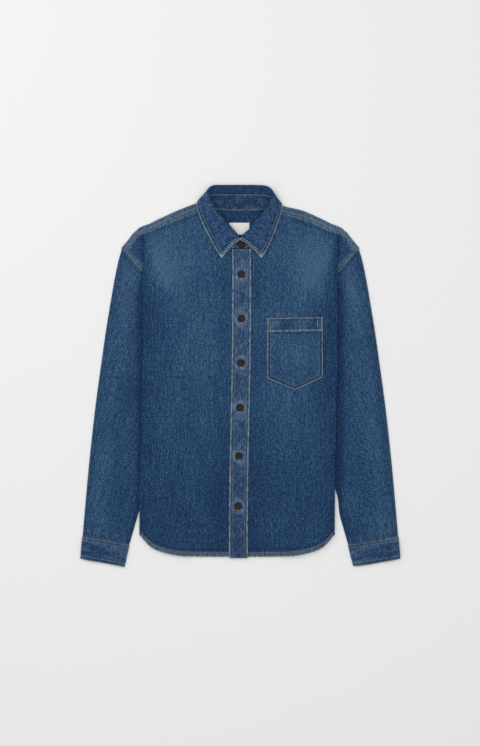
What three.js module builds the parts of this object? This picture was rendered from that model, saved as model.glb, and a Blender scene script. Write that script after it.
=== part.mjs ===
// A long-sleeved denim shirt laid flat on its back, front up, with its sides turned under.
// Millimetres. +X is the wearer's left, +Y points to the collar and +Z up off the surface.
// Front and back lie on each other as a pair of walls, one on each side of a middle surface.
import * as THREE from "three";

// Cloth
const CLOTH = 1.2;
const GAP = 0.3;
const DOUBLED = 2;
const PITCH = 2 * (CLOTH + GAP);
const FLOOR_LEVEL = CLOTH + GAP / 2;
const APART = (CLOTH + GAP) / 2;

// Body
const SIDE_X = 204;
const BEND_LENGTH = (Math.PI * PITCH) / 2;
const YOKE_SIDE_Y = 299;
const SHOULDER_SIDE_Y = 314;
const FOLDED_Y = 284;
const SQUARE_Y = 110;
const BACK_SEAM_Y = 245;
const HEM_START_Y = -200;
const HEM_SIDE_Y = -338;
const HEM_LIFT = 46;
const HEM_LIFT_WIDTH = 90;
const RAMP = 19;
const RAMP_CLEAR = 4;
const DRIFT = -7;
const DRIFT_FROM_Y = 150;
const DRIFT_LENGTH = 480;

// Armhole seam, from the underarm up to the shoulder
const UNDERARM = { x: 104, y: 100 };
const SHOULDER_POINT = { x: 250, y: 267 };
const ARMHOLE_SLOPE = (SHOULDER_POINT.x - UNDERARM.x) / (SHOULDER_POINT.y - UNDERARM.y);
const SLEEVE_IN_SLOPE = 0.29;

// Front band and its lap
const BAND_LEFT = -17;
const BAND_RIGHT = 22.5;
const BAND_TOP = 267.5;
const BAND_BOTTOM = -386;
const LAP_EDGE = 19.6;
const FRONT_SKIN = FLOOR_LEVEL + GAP / 2 + CLOTH;
const BAND_SKIN = FRONT_SKIN + GAP + DOUBLED;

// Edges of the front, back and yoke at distance x from the middle
const NECK_AND_YOKE_SEAM = [
  { x: -20, y: 270 },
  { x: 0, y: 268 },
  { x: 20, y: 270 },
  { x: 45, y: 283 },
  { x: 56, y: 294 },
  { x: 66, y: 308 },
  { x: 73, y: 322 },
  { x: 80, y: 349 },
  { x: 96, y: 344.7 },
  { x: 157, y: 320.5 },
  { x: 204, y: 299 },
];
const BACK_ROWS_SHAPE = [
  { x: 0, y: 318 },
  { x: 50, y: 322 },
  { x: 80, y: 335 },
  { x: 110, y: 336 },
  { x: 157, y: 320.5 },
  { x: 204, y: 299 },
];
const SHOULDER_LINE = [
  { x: 0, y: 350 },
  { x: 50, y: 352.5 },
  { x: 66, y: 357 },
  { x: 73, y: 361 },
  { x: 80, y: 367 },
  { x: 94, y: 364 },
  { x: 135, y: 348 },
  { x: 178, y: 328 },
  { x: 204, y: 314 },
];
const HEM = [
  { x: -20, y: -384 },
  { x: 60, y: -383.5 },
  { x: 110, y: -382.5 },
  { x: 135, y: -379.5 },
  { x: 150, y: -376 },
  { x: 165, y: -371.5 },
  { x: 180, y: -364.5 },
  { x: 192, y: -354 },
  { x: 204, y: -338 },
];
const NECK_X = 80;
const STRAIGHT_TO_X = 157;
const STRAIGHT_PAST_SIDE = 10;
const SEAM_FALL_PAST_SIDE = 40 / 29;
const SHOULDER_FALL_PAST_SIDE = 43 / 36;
const SIDE_SEAM = [
  { y: HEM_SIDE_Y, x: 114 },
  { y: -100, x: 118 },
  { y: 100, x: 103.5 },
];

// Heights at the side fold, one for each row of a panel
const FOLD_ROWS = [299, 294, 289, 284, 262, 245];
const YOKE_BACK_ROWS = [314, ...FOLD_ROWS];
const LOWER_ROWS = [200, 150, 102, 99, 60, 20, -60, -140, -220, -270, -310, HEM_SIDE_Y];
const FRONT_ROWS = [...FOLD_ROWS, ...LOWER_ROWS];
const BACK_ROWS = [BACK_SEAM_Y - GAP, ...LOWER_ROWS];

// Columns of each panel from its inner edge to the first slope, and shares along the two slopes
const NECK_COLUMNS = [34, 45, 56, 66, 73, 80, 96, 118, 140];
const BACK_COLUMNS = [0, 40, 80, 120];
const YOKE_COLUMNS = [0, 34, 58, 73, 80, 96, 118, 140];
const RAMP_SHARES = [0, 0.33, 0.67, 1];
const BETWEEN_RAMPS = [0.36, 0.72];
const UNDER_STEPS = 5;
const LEAST_STEP = 0.02;
const PASSES = 12;

// The front's own soft rise off the back, with slow waves along it
const FRONT_LOFT = { height: 1.6, wave: 0.5, from: 30, bottom: -360, top: 285 };

// Sleeve
const SLEEVE_OUTER = [
  { y: -341, x: 333 },
  { y: -306, x: 330 },
  { y: -221, x: 322.5 },
  { y: -136, x: 314 },
  { y: -51, x: 304 },
  { y: 33, x: 292.5 },
  { y: 76, x: 286.5 },
  { y: 118, x: 280 },
  { y: 160, x: 273 },
  { y: 203, x: 265.5 },
  { y: 245, x: 256.5 },
  { y: 267, x: 250 },
];
const CUFF_SEAM = { outer: { x: 333, y: -341 }, inner: { x: 237, y: -358 } };
const CUFF_END = { outer: { x: 337, y: -388 }, inner: { x: 247.5, y: -405 } };
const SLEEVE_ROWS = 13;
const CUFF_ROWS = 5;
const CUFF_COLUMNS = 9;
const EDGE_BENDS = 2;
const SLEEVE_LOFT = 5;
const SLEEVE_CLEAR_X = 217;
// Soft folds of the sleeve: place, direction in degrees, reach along and across, and height
const SLEEVE_FOLDS = [
  { x: 262, y: 150, turn: 100, along: 60, across: 12, height: 2.5 },
  { x: 285, y: 30, turn: 96, along: 90, across: 13, height: 3 },
  { x: 250, y: -60, turn: 104, along: 90, across: 14, height: 3 },
  { x: 300, y: -180, turn: 98, along: 80, across: 13, height: 2.6 },
  { x: 262, y: -270, turn: 92, along: 60, across: 12, height: 2.8 },
];

// Cuff button, pocket, label and front buttons
const CUFF_BUTTON = { x: 314, y: -366, rise: 3.4 };
const BUTTON = { radius: 7.8, rim: 1.6, height: 2.9, dish: 1.3 };
const BUTTON_SIDES = 16;
const BUTTON_X = 2.2;
const BUTTON_YS = [215, 121, 27, -68, -170, -276];
const COLLAR_BUTTON_Y = 278;
const COLLAR_BUTTON_Z = 6.6;
const POCKET = { left: 57, right: 174, hemTop: 121.4, hemBottom: 91.9, side: -5.5, point: -31 };
const POCKET_TILT = 2.3;
const POCKET_REACH = 4;
const LABEL = { left: -24, right: 19, top: 324, bottom: 299 };
const LABEL_THICKNESS = 1;

// Collar, from the middle of the back to the front end: where its foot, its fold and its free edge run.
// lean is 0 where it lies back, 90 where it stands and 180 where it lies on the front.
const COLLAR = [
  {
    footX: 0, footY: 349, footZ: 2.6, seamZ: 4.8, foldX: 0, foldY: 401.5, foldZ: 6,
    edgeX: 0, edgeY: 376, edgeZ: 1.1, lean: 3, bearing: 90,
  },
  {
    footX: 34, footY: 350, footZ: 2.6, seamZ: 4.9, foldX: 34, foldY: 401.5, foldZ: 6.2,
    edgeX: 35, edgeY: 376, edgeZ: 1.1, lean: 4, bearing: 90,
  },
  {
    footX: 57, footY: 353, footZ: 2.7, seamZ: 6.5, foldX: 56, foldY: 400.5, foldZ: 8.6,
    edgeX: 64, edgeY: 375.5, edgeZ: 1.3, lean: 20, bearing: 75,
  },
  {
    footX: 71, footY: 359, footZ: 3.6, seamZ: 10.5, foldX: 66, foldY: 393, foldZ: 14,
    edgeX: 84, edgeY: 374.5, edgeZ: 4.6, lean: 60, bearing: 48,
  },
  {
    footX: 76, footY: 355, footZ: 4, seamZ: 12.5, foldX: 66.5, foldY: 381, foldZ: 17.5,
    edgeX: 92, edgeY: 364, edgeZ: 5.2, lean: 90, bearing: 20,
  },
  {
    footX: 75.5, footY: 341, footZ: 4, seamZ: 11.5, foldX: 59, foldY: 362, foldZ: 17,
    edgeX: 88.5, edgeY: 343, edgeZ: 5.2, lean: 112, bearing: -5,
  },
  {
    footX: 70, footY: 322, footZ: 4, seamZ: 9, foldX: 46, foldY: 342, foldZ: 14.5,
    edgeX: 79, edgeY: 320, edgeZ: 5.4, lean: 135, bearing: -25,
  },
  {
    footX: 58, footY: 302, footZ: 4, seamZ: 6.6, foldX: 30, foldY: 324, foldZ: 12.4,
    edgeX: 67, edgeY: 295, edgeZ: 5.8, lean: 155, bearing: -38,
  },
  {
    footX: 38, footY: 283, footZ: 4, seamZ: 4.6, foldX: 15, foldY: 307, foldZ: 11,
    edgeX: 53.5, edgeY: 270, edgeZ: 6.4, lean: 165, bearing: -45,
  },
  {
    footX: 17, footY: 272, footZ: 4, seamZ: 4, foldX: 2.4, foldY: 292, foldZ: 10.6,
    edgeX: 39.5, edgeY: 248.5, edgeZ: 6.8, lean: 168, bearing: -52,
  },
];
const COLLAR_STEPS = 2;
const STAND_SHARE = 0.66;
const FOLD_SPREAD = 2.8;
const STAND_LAP_RISE = 2.4;

const DENIM = 0x35557e;
const DARK_DENIM = 0x2c486c;
const HORN = 0x3a2016;
const LABEL_WHITE = 0xeeebe4;

const clamp = (value, low, high) => Math.min(high, Math.max(low, value));
const mix = (a, b, share) => a + (b - a) * share;

function smooth(value) {
  const t = clamp(value, 0, 1);
  return t * t * (3 - 2 * t);
}

// Reads column `out` of a table at place `at` of column `by`, by straight lines between its rows.
function along(table, by, out, at) {
  const place = clamp(at, table[0][by], table[table.length - 1][by]);
  const next = Math.max(1, table.findIndex((row) => row[by] >= place));
  const [a, b] = [table[next - 1], table[next]];
  return mix(a[out], b[out], (place - a[by]) / (b[by] - a[by]));
}

function drift(y) {
  return DRIFT * smooth((DRIFT_FROM_Y - y) / DRIFT_LENGTH);
}

function armholeX(y) {
  return UNDERARM.x + (y - UNDERARM.y) * ARMHOLE_SLOPE;
}

// How far the side fold has turned at height y, from 0 at the yoke to half a turn.
function foldTurn(y) {
  return Math.PI * smooth((YOKE_SIDE_Y - y) / (YOKE_SIDE_Y - FOLDED_Y));
}

// Inner edge of the part turned under, from the yoke to the underarm and down the side seam.
function turnedInX(y) {
  if (y < UNDERARM.y) return along(SIDE_SEAM, "y", "x", y);
  const share = clamp((FOLDED_Y - y) / (FOLDED_Y - UNDERARM.y), 0, 1);
  return mix(SIDE_X - 1, along(SIDE_SEAM, "y", "x", UNDERARM.y), share);
}

// Where the sleeve, or the body's lowest layer, begins under the body.
function lowestInX(y) {
  if (y >= UNDERARM.y) return turnedInX(y);
  return UNDERARM.x + (UNDERARM.y - y) * SLEEVE_IN_SLOPE - Math.abs(drift(y));
}

// The two slopes that carry the body's main part over what lies beneath it.
function ramps(y) {
  const highEnd = Math.min(lowestInX(y) - RAMP_CLEAR, SIDE_X - 1);
  const highStart = Math.min(lowestInX(y) - RAMP_CLEAR - RAMP, SIDE_X - 13);
  const lowEnd = Math.min(turnedInX(y) - RAMP_CLEAR, highStart - 0.5);
  return { lowStart: lowEnd - RAMP, lowEnd, highStart, highEnd };
}

function bendDrop(turn) {
  const half = turn / 2;
  return half < 1e-6 ? 0 : (BEND_LENGTH * Math.sin(half) ** 2) / half;
}

// Share of the full drop of a double bend at row y, times the height of two pairs.
function stackHeight(row) {
  return row > UNDERARM.y ? 2 * bendDrop(foldTurn(row)) + Math.sin(foldTurn(row)) : 2 * PITCH;
}

function highSlope(x, y) {
  const end = lowestInX(y) - RAMP_CLEAR;
  return smooth((x - end + RAMP) / RAMP);
}

function mainLevel(x, y, row) {
  const { lowStart, lowEnd } = ramps(y);
  const low = smooth((x - lowStart) / (lowEnd - lowStart));
  return FLOOR_LEVEL + (stackHeight(row) / 2) * (low + highSlope(x, y));
}

// The front's rise is none at its edges and folds.
function frontLoft(x, y) {
  const { height, wave, from, bottom, top } = FRONT_LOFT;
  const acrossShare = smooth((x - from) / 40) * smooth((SIDE_X - 14 - x) / 50);
  const upShare = smooth((y - bottom) / 120) * smooth((top - y) / 70);
  const waves = 1 + wave * Math.sin(x / 17 + y / 90) * Math.sin(y / 60 + 1);
  return height * acrossShare * upShare * waves;
}

// Puts point (x, y) of a row whose height at the side fold is `row`.
const CURTAINS = {
  front(x, row) {
    const share = smooth((row - SQUARE_Y) / (FOLDED_Y - SQUARE_Y));
    return row + share * (along(NECK_AND_YOKE_SEAM, "x", "y", x) - YOKE_SIDE_Y) + hemSag(x, row);
  },
  // As the front near the side, and straight across further in
  back(x, row) {
    const share = smooth((row - SQUARE_Y) / (FOLDED_Y - SQUARE_Y));
    const arch = smooth((row - BACK_SEAM_Y) / (FOLDED_Y - BACK_SEAM_Y));
    const near = along(NECK_AND_YOKE_SEAM, "x", "y", Math.max(x, STRAIGHT_TO_X)) - YOKE_SIDE_Y;
    const far = along(BACK_ROWS_SHAPE, "x", "y", x) - YOKE_SIDE_Y - near;
    const y = Math.min(row, YOKE_SIDE_Y) + share * near + arch * far + hemSag(x, row);
    const above = clamp((row - YOKE_SIDE_Y) / (SHOULDER_SIDE_Y - YOKE_SIDE_Y), 0, 1);
    return mix(y, along(SHOULDER_LINE, "x", "y", x), above);
  },
  yoke(x, row) {
    const above = (row - YOKE_SIDE_Y) / (SHOULDER_SIDE_Y - YOKE_SIDE_Y);
    return mix(along(NECK_AND_YOKE_SEAM, "x", "y", x), along(SHOULDER_LINE, "x", "y", x), above);
  },
};

function hemShare(row) {
  return smooth((HEM_START_Y - row) / (HEM_START_Y - HEM_SIDE_Y));
}

function hemSag(x, row) {
  return hemShare(row) * (along(HEM, "x", "y", x) - HEM_SIDE_Y);
}

// Fall of a row past the side, on the lowest layer that runs out to the armhole.
function outerFall(x, row) {
  const above = clamp((row - YOKE_SIDE_Y) / (SHOULDER_SIDE_Y - YOKE_SIDE_Y), 0, 1);
  const share = smooth((row - SQUARE_Y) / (FOLDED_Y - SQUARE_Y));
  const slope = share * mix(SEAM_FALL_PAST_SIDE, SHOULDER_FALL_PAST_SIDE, above);
  return slope * Math.max(0, x - SIDE_X - STRAIGHT_PAST_SIDE);
}

function armholeEnd(row) {
  let [low, high] = [UNDERARM.x, SHOULDER_POINT.x + 10];
  for (let step = 0; step < 40; step += 1) {
    const x = (low + high) / 2;
    if (x < armholeX(row - outerFall(x, row))) low = x;
    else high = x;
  }
  return low;
}

// One row of a panel's middle surface, from its inner edge out over the side, as { x, y, z }.
function bodyRow(row, curtain, innerColumns) {
  const nodes = [];
  const level = Math.min(row, YOKE_SIDE_Y);
  const put = (pick) => {
    let [x, y] = [0, level];
    for (let pass = 0; pass < PASSES; pass += 1) {
      x = pick(ramps(Math.min(y, YOKE_SIDE_Y)));
      y = curtain(x, row);
    }
    nodes.push({ x, y, z: mainLevel(x, Math.min(y, YOKE_SIDE_Y), level) });
  };
  const topStart = ramps(YOKE_SIDE_Y).lowStart;
  const first = innerColumns[0];
  for (const column of innerColumns)
    put((ramp) => first + ((column - first) * (ramp.lowStart - first)) / (topStart - first));
  for (const share of RAMP_SHARES) put((ramp) => mix(ramp.lowStart, ramp.lowEnd, share));
  for (const share of BETWEEN_RAMPS) put((ramp) => mix(ramp.lowEnd, ramp.highStart, share));
  for (const share of RAMP_SHARES) put((ramp) => mix(ramp.highStart, ramp.highEnd, share));
  const start = { x: SIDE_X, y: row, z: mainLevel(SIDE_X, row, level) };
  nodes.push(start);

  // Over the side fold
  const turn = row > UNDERARM.y ? foldTurn(row) : Math.PI;
  const pen = { x: start.x, z: start.z, heading: 0 };
  const bend = (amount, steps) => {
    for (let step = 0; step < steps; step += 1) {
      const half = amount / steps / 2;
      const chord = (BEND_LENGTH / steps) * (Math.abs(half) < 1e-6 ? 1 : Math.sin(half) / half);
      pen.heading += half;
      pen.x += chord * Math.cos(pen.heading);
      pen.z -= chord * Math.sin(pen.heading);
      pen.heading += half;
      nodes.push({ x: pen.x, y: row, z: pen.z });
    }
  };
  bend(turn, 4);

  // Back in under the body, on the lower of the two slopes
  const { highStart, highEnd } = ramps(row);
  const inner = row > UNDERARM.y ? turnedInX(row) : along(SIDE_SEAM, "y", "x", row);
  const folded = turn > Math.PI - 1e-6;
  const reach = folded ? pen.x - inner : 1;
  const stops = RAMP_SHARES.map((share) => mix(highEnd, highStart, share));
  const places = stops.map((x, index) => {
    const even = (index + 1) / UNDER_STEPS;
    const share = folded && row < UNDERARM.y ? (pen.x - x) / reach : even;
    return clamp(share, LEAST_STEP * (index + 1), 1 - LEAST_STEP * (UNDER_STEPS - index));
  });
  const base = { x: pen.x, z: pen.z };
  for (const share of [...places, 1]) {
    const x = base.x + share * reach * Math.cos(turn);
    const flat = FLOOR_LEVEL + PITCH * (row < UNDERARM.y ? highSlope(x, row) : 1);
    const z = folded ? flat : base.z - share * reach * Math.sin(turn);
    const lift = row < UNDERARM.y ? hemShare(row) * HEM_LIFT * smooth((SIDE_X - x) / HEM_LIFT_WIDTH) : 0;
    nodes.push({ x, y: row + lift, z });
  }
  if (row < UNDERARM.y) return nodes;

  // Out again on the lowest layer, as far as the armhole
  pen.x = nodes.at(-1).x;
  pen.z = nodes.at(-1).z;
  bend(-turn, 3);
  const end = armholeEnd(row);
  for (const share of [0.5, 1]) {
    const x = mix(pen.x, end, share);
    nodes.push({ x, y: row - outerFall(x, row), z: FLOOR_LEVEL });
  }
  return nodes;
}

// Turns a row's middle points into the middle of one of its two layers, with a normal for each.
function layer(nodes, offset, loft = () => 0) {
  return nodes.map((node, index) => {
    const before = nodes[Math.max(0, index - 1)];
    const after = nodes[Math.min(nodes.length - 1, index + 1)];
    const normal = new THREE.Vector3(before.z - after.z, 0, after.x - before.x).normalize();
    const point = new THREE.Vector3(node.x, node.y, node.z).addScaledVector(normal, offset);
    point.z += loft(node.x, node.y, index);
    return { point, normal };
  });
}

// Moves nodes to the wearer's left (1) or right (-1) half, with the body's drift to one side.
function onSide(rows, side, drifts = true) {
  return rows.map((row) =>
    row.map((node) => {
      if (!node) return null;
      const point = node.point.clone();
      point.x = point.x * side + (drifts ? drift(point.y) : 0);
      const normal = new THREE.Vector3(node.normal.x * side, node.normal.y, node.normal.z);
      return { point, normal };
    }),
  );
}

// Normals of a grid of points from its neighbours.
function withNormals(points, wraps = false) {
  return points.map((row, i) =>
    row.map((point, j) => {
      const count = row.length;
      const left = row[wraps ? (j + count - 1) % count : Math.max(0, j - 1)];
      const right = row[wraps ? (j + 1) % count : Math.min(count - 1, j + 1)];
      const up = points[Math.max(0, i - 1)][j];
      const down = points[Math.min(points.length - 1, i + 1)][j];
      const normal = new THREE.Vector3().subVectors(right, left);
      normal.cross(new THREE.Vector3().subVectors(down, up)).normalize();
      return { point, normal };
    }),
  );
}

// A closed wall of cloth around a grid of middle points; null nodes are cut away.
function wall(rows, thickness, wraps = false) {
  const positions = [];
  const ids = rows.map((row) =>
    row.map((node) => {
      if (!node) return null;
      const id = positions.length / 3;
      for (const half of [thickness / 2, -thickness / 2]) {
        const point = node.point.clone().addScaledVector(node.normal, half);
        positions.push(point.x, point.y, point.z);
      }
      return id;
    }),
  );
  const cells = [];
  for (let i = 0; i + 1 < ids.length; i += 1) {
    const count = ids[i].length;
    for (let j = 0; j < (wraps ? count : count - 1); j += 1) {
      const next = (j + 1) % count;
      const cell = [ids[i][j], ids[i][next], ids[i + 1][next], ids[i + 1][j]];
      if (cell.every((id) => id !== null && id !== undefined)) cells.push(cell);
    }
  }
  const at = (id) => new THREE.Vector3().fromArray(positions, id * 3);
  const [a, b, , d] = cells[0];
  const facing = new THREE.Vector3().subVectors(at(b), at(a));
  facing.cross(new THREE.Vector3().subVectors(at(d), at(a)));
  const flipped = facing.dot(new THREE.Vector3().subVectors(at(a), at(a + 1))) < 0;
  const index = [];
  const edges = new Map();
  for (const cell of cells) {
    const turned = flipped ? [...cell].reverse() : cell;
    const one = at(turned[0]).distanceTo(at(turned[2]));
    const two = at(turned[1]).distanceTo(at(turned[3]));
    const [p, q, r, s] = two < one - 1e-3 ? [...turned.slice(1), turned[0]] : turned;
    index.push(p, q, r, p, r, s);
    index.push(p + 1, r + 1, q + 1, p + 1, s + 1, r + 1);
    for (const [from, to] of [[p, q], [q, r], [r, s], [s, p]]) {
      if (edges.has(to + "_" + from)) edges.delete(to + "_" + from);
      else edges.set(from + "_" + to, [from, to]);
    }
  }
  for (const [from, to] of edges.values()) index.push(from, from + 1, to + 1, from, to + 1, to);
  const geometry = new THREE.BufferGeometry();
  geometry.setAttribute("position", new THREE.Float32BufferAttribute(positions, 3));
  geometry.setIndex(index);
  geometry.computeVertexNormals();
  return geometry;
}

const shirt = new THREE.Group();
shirt.name = "denim_shirt";

function add(name, geometry, colour = DENIM, roughness = 0.85) {
  const material = new THREE.MeshStandardMaterial({ color: colour, roughness, metalness: 0 });
  const mesh = new THREE.Mesh(geometry, material);
  mesh.name = name;
  shirt.add(mesh);
}

// Fronts
function frontPanel(side, columns) {
  const edge = columns.length + 2 * RAMP_SHARES.length + BETWEEN_RAMPS.length;
  const loft = (x, y, index) => (index < edge ? frontLoft(x, y) : 0);
  const rows = FRONT_ROWS.map((row) => layer(bodyRow(row, CURTAINS.front, columns), APART, loft));
  return wall(onSide(rows, side), CLOTH);
}

// Back and yoke, both halves in one sheet
function bothHalves(rows) {
  const longest = Math.max(...rows.map((row) => row.length));
  const even = rows.map((row) => [...row, ...Array(longest - row.length).fill(null)]);
  const left = onSide(even, -1);
  const right = onSide(even, 1);
  return left.map((row, i) => [...row.slice(1).reverse(), ...right[i]]);
}

function backPanel() {
  const rows = BACK_ROWS.map((row) => layer(bodyRow(row, CURTAINS.back, BACK_COLUMNS), -APART));
  return wall(bothHalves(rows), CLOTH);
}

function yokePiece() {
  const pastNeck = (nodes) => nodes.map((node) => (node.point.x < NECK_X - 0.01 ? null : node));
  const strip = [YOKE_SIDE_Y + GAP, SHOULDER_SIDE_Y];
  const onFront = strip.map((row) => layer(bodyRow(row, CURTAINS.yoke, YOKE_COLUMNS), APART));
  const top = bodyRow(SHOULDER_SIDE_Y, CURTAINS.yoke, YOKE_COLUMNS);
  const roll = [60, 120].map((degrees) => {
    const turn = THREE.MathUtils.degToRad(degrees);
    return top.map((node, index) => {
      const before = top[Math.max(0, index - 1)];
      const after = top[Math.min(top.length - 1, index + 1)];
      const out = new THREE.Vector3(before.y - after.y, after.x - before.x, 0).normalize();
      const normal = out.multiplyScalar(Math.sin(turn));
      normal.z = Math.cos(turn);
      const point = new THREE.Vector3(node.x, node.y, node.z).addScaledVector(normal, APART);
      return { point, normal };
    });
  });
  // On the back the wall faces down, so that one sheet runs over the shoulder.
  const onBack = YOKE_BACK_ROWS.map((row) =>
    layer(bodyRow(row, CURTAINS.back, YOKE_COLUMNS), -APART).map(({ point, normal }) => ({
      point,
      normal: normal.clone().negate(),
    })),
  );
  return wall(bothHalves([...onFront.map(pastNeck), ...roll.map(pastNeck), ...onBack]), CLOTH);
}

add("back", backPanel());
add("yoke", yokePiece());
add("front_right", frontPanel(-1, [-LAP_EDGE, 0, 20, ...NECK_COLUMNS]));
const leftFront = frontPanel(1, [LAP_EDGE + GAP, ...NECK_COLUMNS]);
add("front_left", leftFront);

// Height of a panel's upper face over (x, y), from its own faces
function heightOver(geometry, x, y) {
  const points = geometry.getAttribute("position");
  const index = geometry.getIndex();
  const corner = (place) => new THREE.Vector3().fromBufferAttribute(points, index.getX(place));
  let height = 0;
  for (let face = 0; face < index.count; face += 3) {
    const [a, b, c] = [corner(face), corner(face + 1), corner(face + 2)];
    const area = (b.x - a.x) * (c.y - a.y) - (c.x - a.x) * (b.y - a.y);
    if (area < 1e-6) continue;
    const toB = ((x - a.x) * (c.y - a.y) - (c.x - a.x) * (y - a.y)) / area;
    const toC = ((b.x - a.x) * (y - a.y) - (x - a.x) * (b.y - a.y)) / area;
    if (toB < 0 || toC < 0 || toB + toC > 1) continue;
    height = Math.max(height, a.z + toB * (b.z - a.z) + toC * (c.z - a.z));
  }
  return height;
}

// A flat piece that lies on the left front: the panel's own heights, moved out
function onFront(xs, ys, place, thickness, reach) {
  const around = [-reach, 0, reach];
  const rows = ys.map((v) =>
    xs.map((u) => {
      const { x, y } = place(u, v);
      const heightsBy = (dx) => around.map((dy) => heightOver(leftFront, x + dx, y + dy));
      const heights = around.flatMap(heightsBy);
      const rise = Math.max(FRONT_SKIN, ...heights) + GAP + thickness / 2;
      return { point: new THREE.Vector3(x, y, rise), normal: new THREE.Vector3(0, 0, 1) };
    }),
  );
  return wall(rows, thickness);
}

const steps = (count) => Array.from({ length: count + 1 }, (_, index) => index / count);

function bandPlace(u, v) {
  const y = mix(BAND_TOP, BAND_BOTTOM, v);
  return { x: mix(BAND_LEFT, BAND_RIGHT, u) + drift(y), y };
}
add("placket", onFront(steps(2), steps(14), bandPlace, DOUBLED, 0), DARK_DENIM);

function pocketPlace(u, v) {
  const bottom = mix(POCKET.side, POCKET.point, 1 - Math.abs(2 * u - 1));
  const x = mix(POCKET.left, POCKET.right, u);
  return { x, y: mix(POCKET.hemBottom - GAP, bottom, v) + u * POCKET_TILT };
}
function pocketHemPlace(u, v) {
  const x = mix(POCKET.left, POCKET.right, u);
  return { x, y: mix(POCKET.hemTop, POCKET.hemBottom, v) + u * POCKET_TILT };
}
add("pocket", onFront(steps(12), steps(8), pocketPlace, CLOTH, POCKET_REACH));
add("pocket_hem", onFront(steps(12), steps(2), pocketHemPlace, DOUBLED, POCKET_REACH));

// A flattened tube between two edges, each a function that gives its point at a share of the length
function tube(edges, rows, thickness, loft, columns) {
  const radius = (GAP + thickness) / 2;
  const middle = GAP / 2 + thickness;
  return steps(rows).map((v) => {
    const [inner, outer] = [edges.inner(v), edges.outer(v)];
    const way = new THREE.Vector2(outer.x - inner.x, outer.y - inner.y).normalize();
    const nodes = [];
    const push = (x, y, z, nx, ny, nz) =>
      nodes.push({ point: new THREE.Vector3(x, y, z), normal: new THREE.Vector3(nx, ny, nz) });
    const shares = columns(inner, outer);
    for (const s of shares) {
      const [x, y] = [mix(inner.x, outer.x, s), mix(inner.y, outer.y, s)];
      const { top } = loft(x, y);
      push(x, y, middle + radius + top, 0, 0, 1);
    }
    for (let bend = 1; bend <= EDGE_BENDS; bend += 1) {
      const turn = (Math.PI * bend) / (EDGE_BENDS + 1);
      const [out, up] = [Math.sin(turn), Math.cos(turn)];
      const base = loft(outer.x, outer.y);
      const lift = mix(base.top, base.bottom, bend / (EDGE_BENDS + 1));
      const [x, y] = [outer.x + way.x * out * radius, outer.y + way.y * out * radius];
      push(x, y, middle + up * radius + lift, way.x * out, way.y * out, up);
    }
    for (const s of [...shares].reverse()) {
      const [x, y] = [mix(inner.x, outer.x, s), mix(inner.y, outer.y, s)];
      push(x, y, middle - radius + loft(x, y).bottom, 0, 0, -1);
    }
    for (let bend = 1; bend <= EDGE_BENDS; bend += 1) {
      const turn = Math.PI + (Math.PI * bend) / (EDGE_BENDS + 1);
      const [out, up] = [Math.sin(turn), Math.cos(turn)];
      const [x, y] = [inner.x + way.x * out * radius, inner.y + way.y * out * radius];
      push(x, y, middle + up * radius, way.x * out, way.y * out, up);
    }
    return nodes;
  });
}

function foldRidge(x, y, fold) {
  const turn = THREE.MathUtils.degToRad(fold.turn);
  const [dx, dy] = [x - fold.x, y - fold.y];
  const lengthwise = (dx * Math.cos(turn) + dy * Math.sin(turn)) / fold.along;
  const crosswise = (dy * Math.cos(turn) - dx * Math.sin(turn)) / fold.across;
  return fold.height * Math.exp(-(lengthwise ** 2) - crosswise ** 2);
}

// The sleeve's rise, kept off the body's fold, its seams and its own edges.
function sleeveLoft(x, y) {
  const outerX = along(SLEEVE_OUTER, "y", "x", y);
  const innerX = Math.max(SLEEVE_CLEAR_X, UNDERARM.x + (UNDERARM.y - y) * SLEEVE_IN_SLOPE);
  const acrossShare = smooth((x - innerX) / 26) * smooth((outerX - x) / 26);
  const cuffShare = (x - CUFF_SEAM.inner.x) / (CUFF_SEAM.outer.x - CUFF_SEAM.inner.x);
  const cuffY = mix(CUFF_SEAM.inner.y, CUFF_SEAM.outer.y, cuffShare);
  const armhole = (armholeX(y) - x) / ARMHOLE_SLOPE;
  const lengthShare = smooth((y - cuffY) / 40) * smooth((-armhole - 4) / 40);
  const folds = SLEEVE_FOLDS.reduce((sum, fold) => sum + foldRidge(x, y, fold), 0);
  return { top: acrossShare * lengthShare * (SLEEVE_LOFT + folds), bottom: 0 };
}

const armholeAway = new THREE.Vector2(1, -ARMHOLE_SLOPE).normalize().multiplyScalar(GAP);
const sleeveEdges = {
  inner: (v) => {
    const y = mix(UNDERARM.y, CUFF_SEAM.inner.y, v);
    const clear = (1 - v) ** 8;
    const x = UNDERARM.x + (UNDERARM.y - y) * SLEEVE_IN_SLOPE;
    return { x: x + clear * armholeAway.x, y: y + clear * armholeAway.y };
  },
  outer: (v) => {
    const y = mix(SHOULDER_POINT.y, CUFF_SEAM.outer.y, v);
    const clear = (1 - v) ** 8;
    const x = along(SLEEVE_OUTER, "y", "x", y);
    return { x: x + clear * armholeAway.x, y: y + clear * armholeAway.y };
  },
};

// Columns of the sleeve: few under the body, the rest where it comes clear of it
function sleeveColumns(inner, outer) {
  const clear = clamp((SLEEVE_CLEAR_X - inner.x) / (outer.x - inner.x), 0.06, 0.86);
  return [0, clear / 2, ...steps(5).map((s) => mix(clear, 1, s))];
}

function cuffLoft(x, y) {
  const away = Math.hypot(x - CUFF_BUTTON.x, y - CUFF_BUTTON.y);
  const rise = CUFF_BUTTON.rise * smooth((32 - away) / 14);
  return { top: rise, bottom: rise };
}

function between(from, to, v) {
  return { x: mix(from.x, to.x, v), y: mix(from.y, to.y, v) };
}

const cuffEdges = {
  inner: (v) => between({ x: CUFF_SEAM.inner.x, y: CUFF_SEAM.inner.y - GAP }, CUFF_END.inner, v),
  outer: (v) => between({ x: CUFF_SEAM.outer.x, y: CUFF_SEAM.outer.y - GAP }, CUFF_END.outer, v),
};

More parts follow.
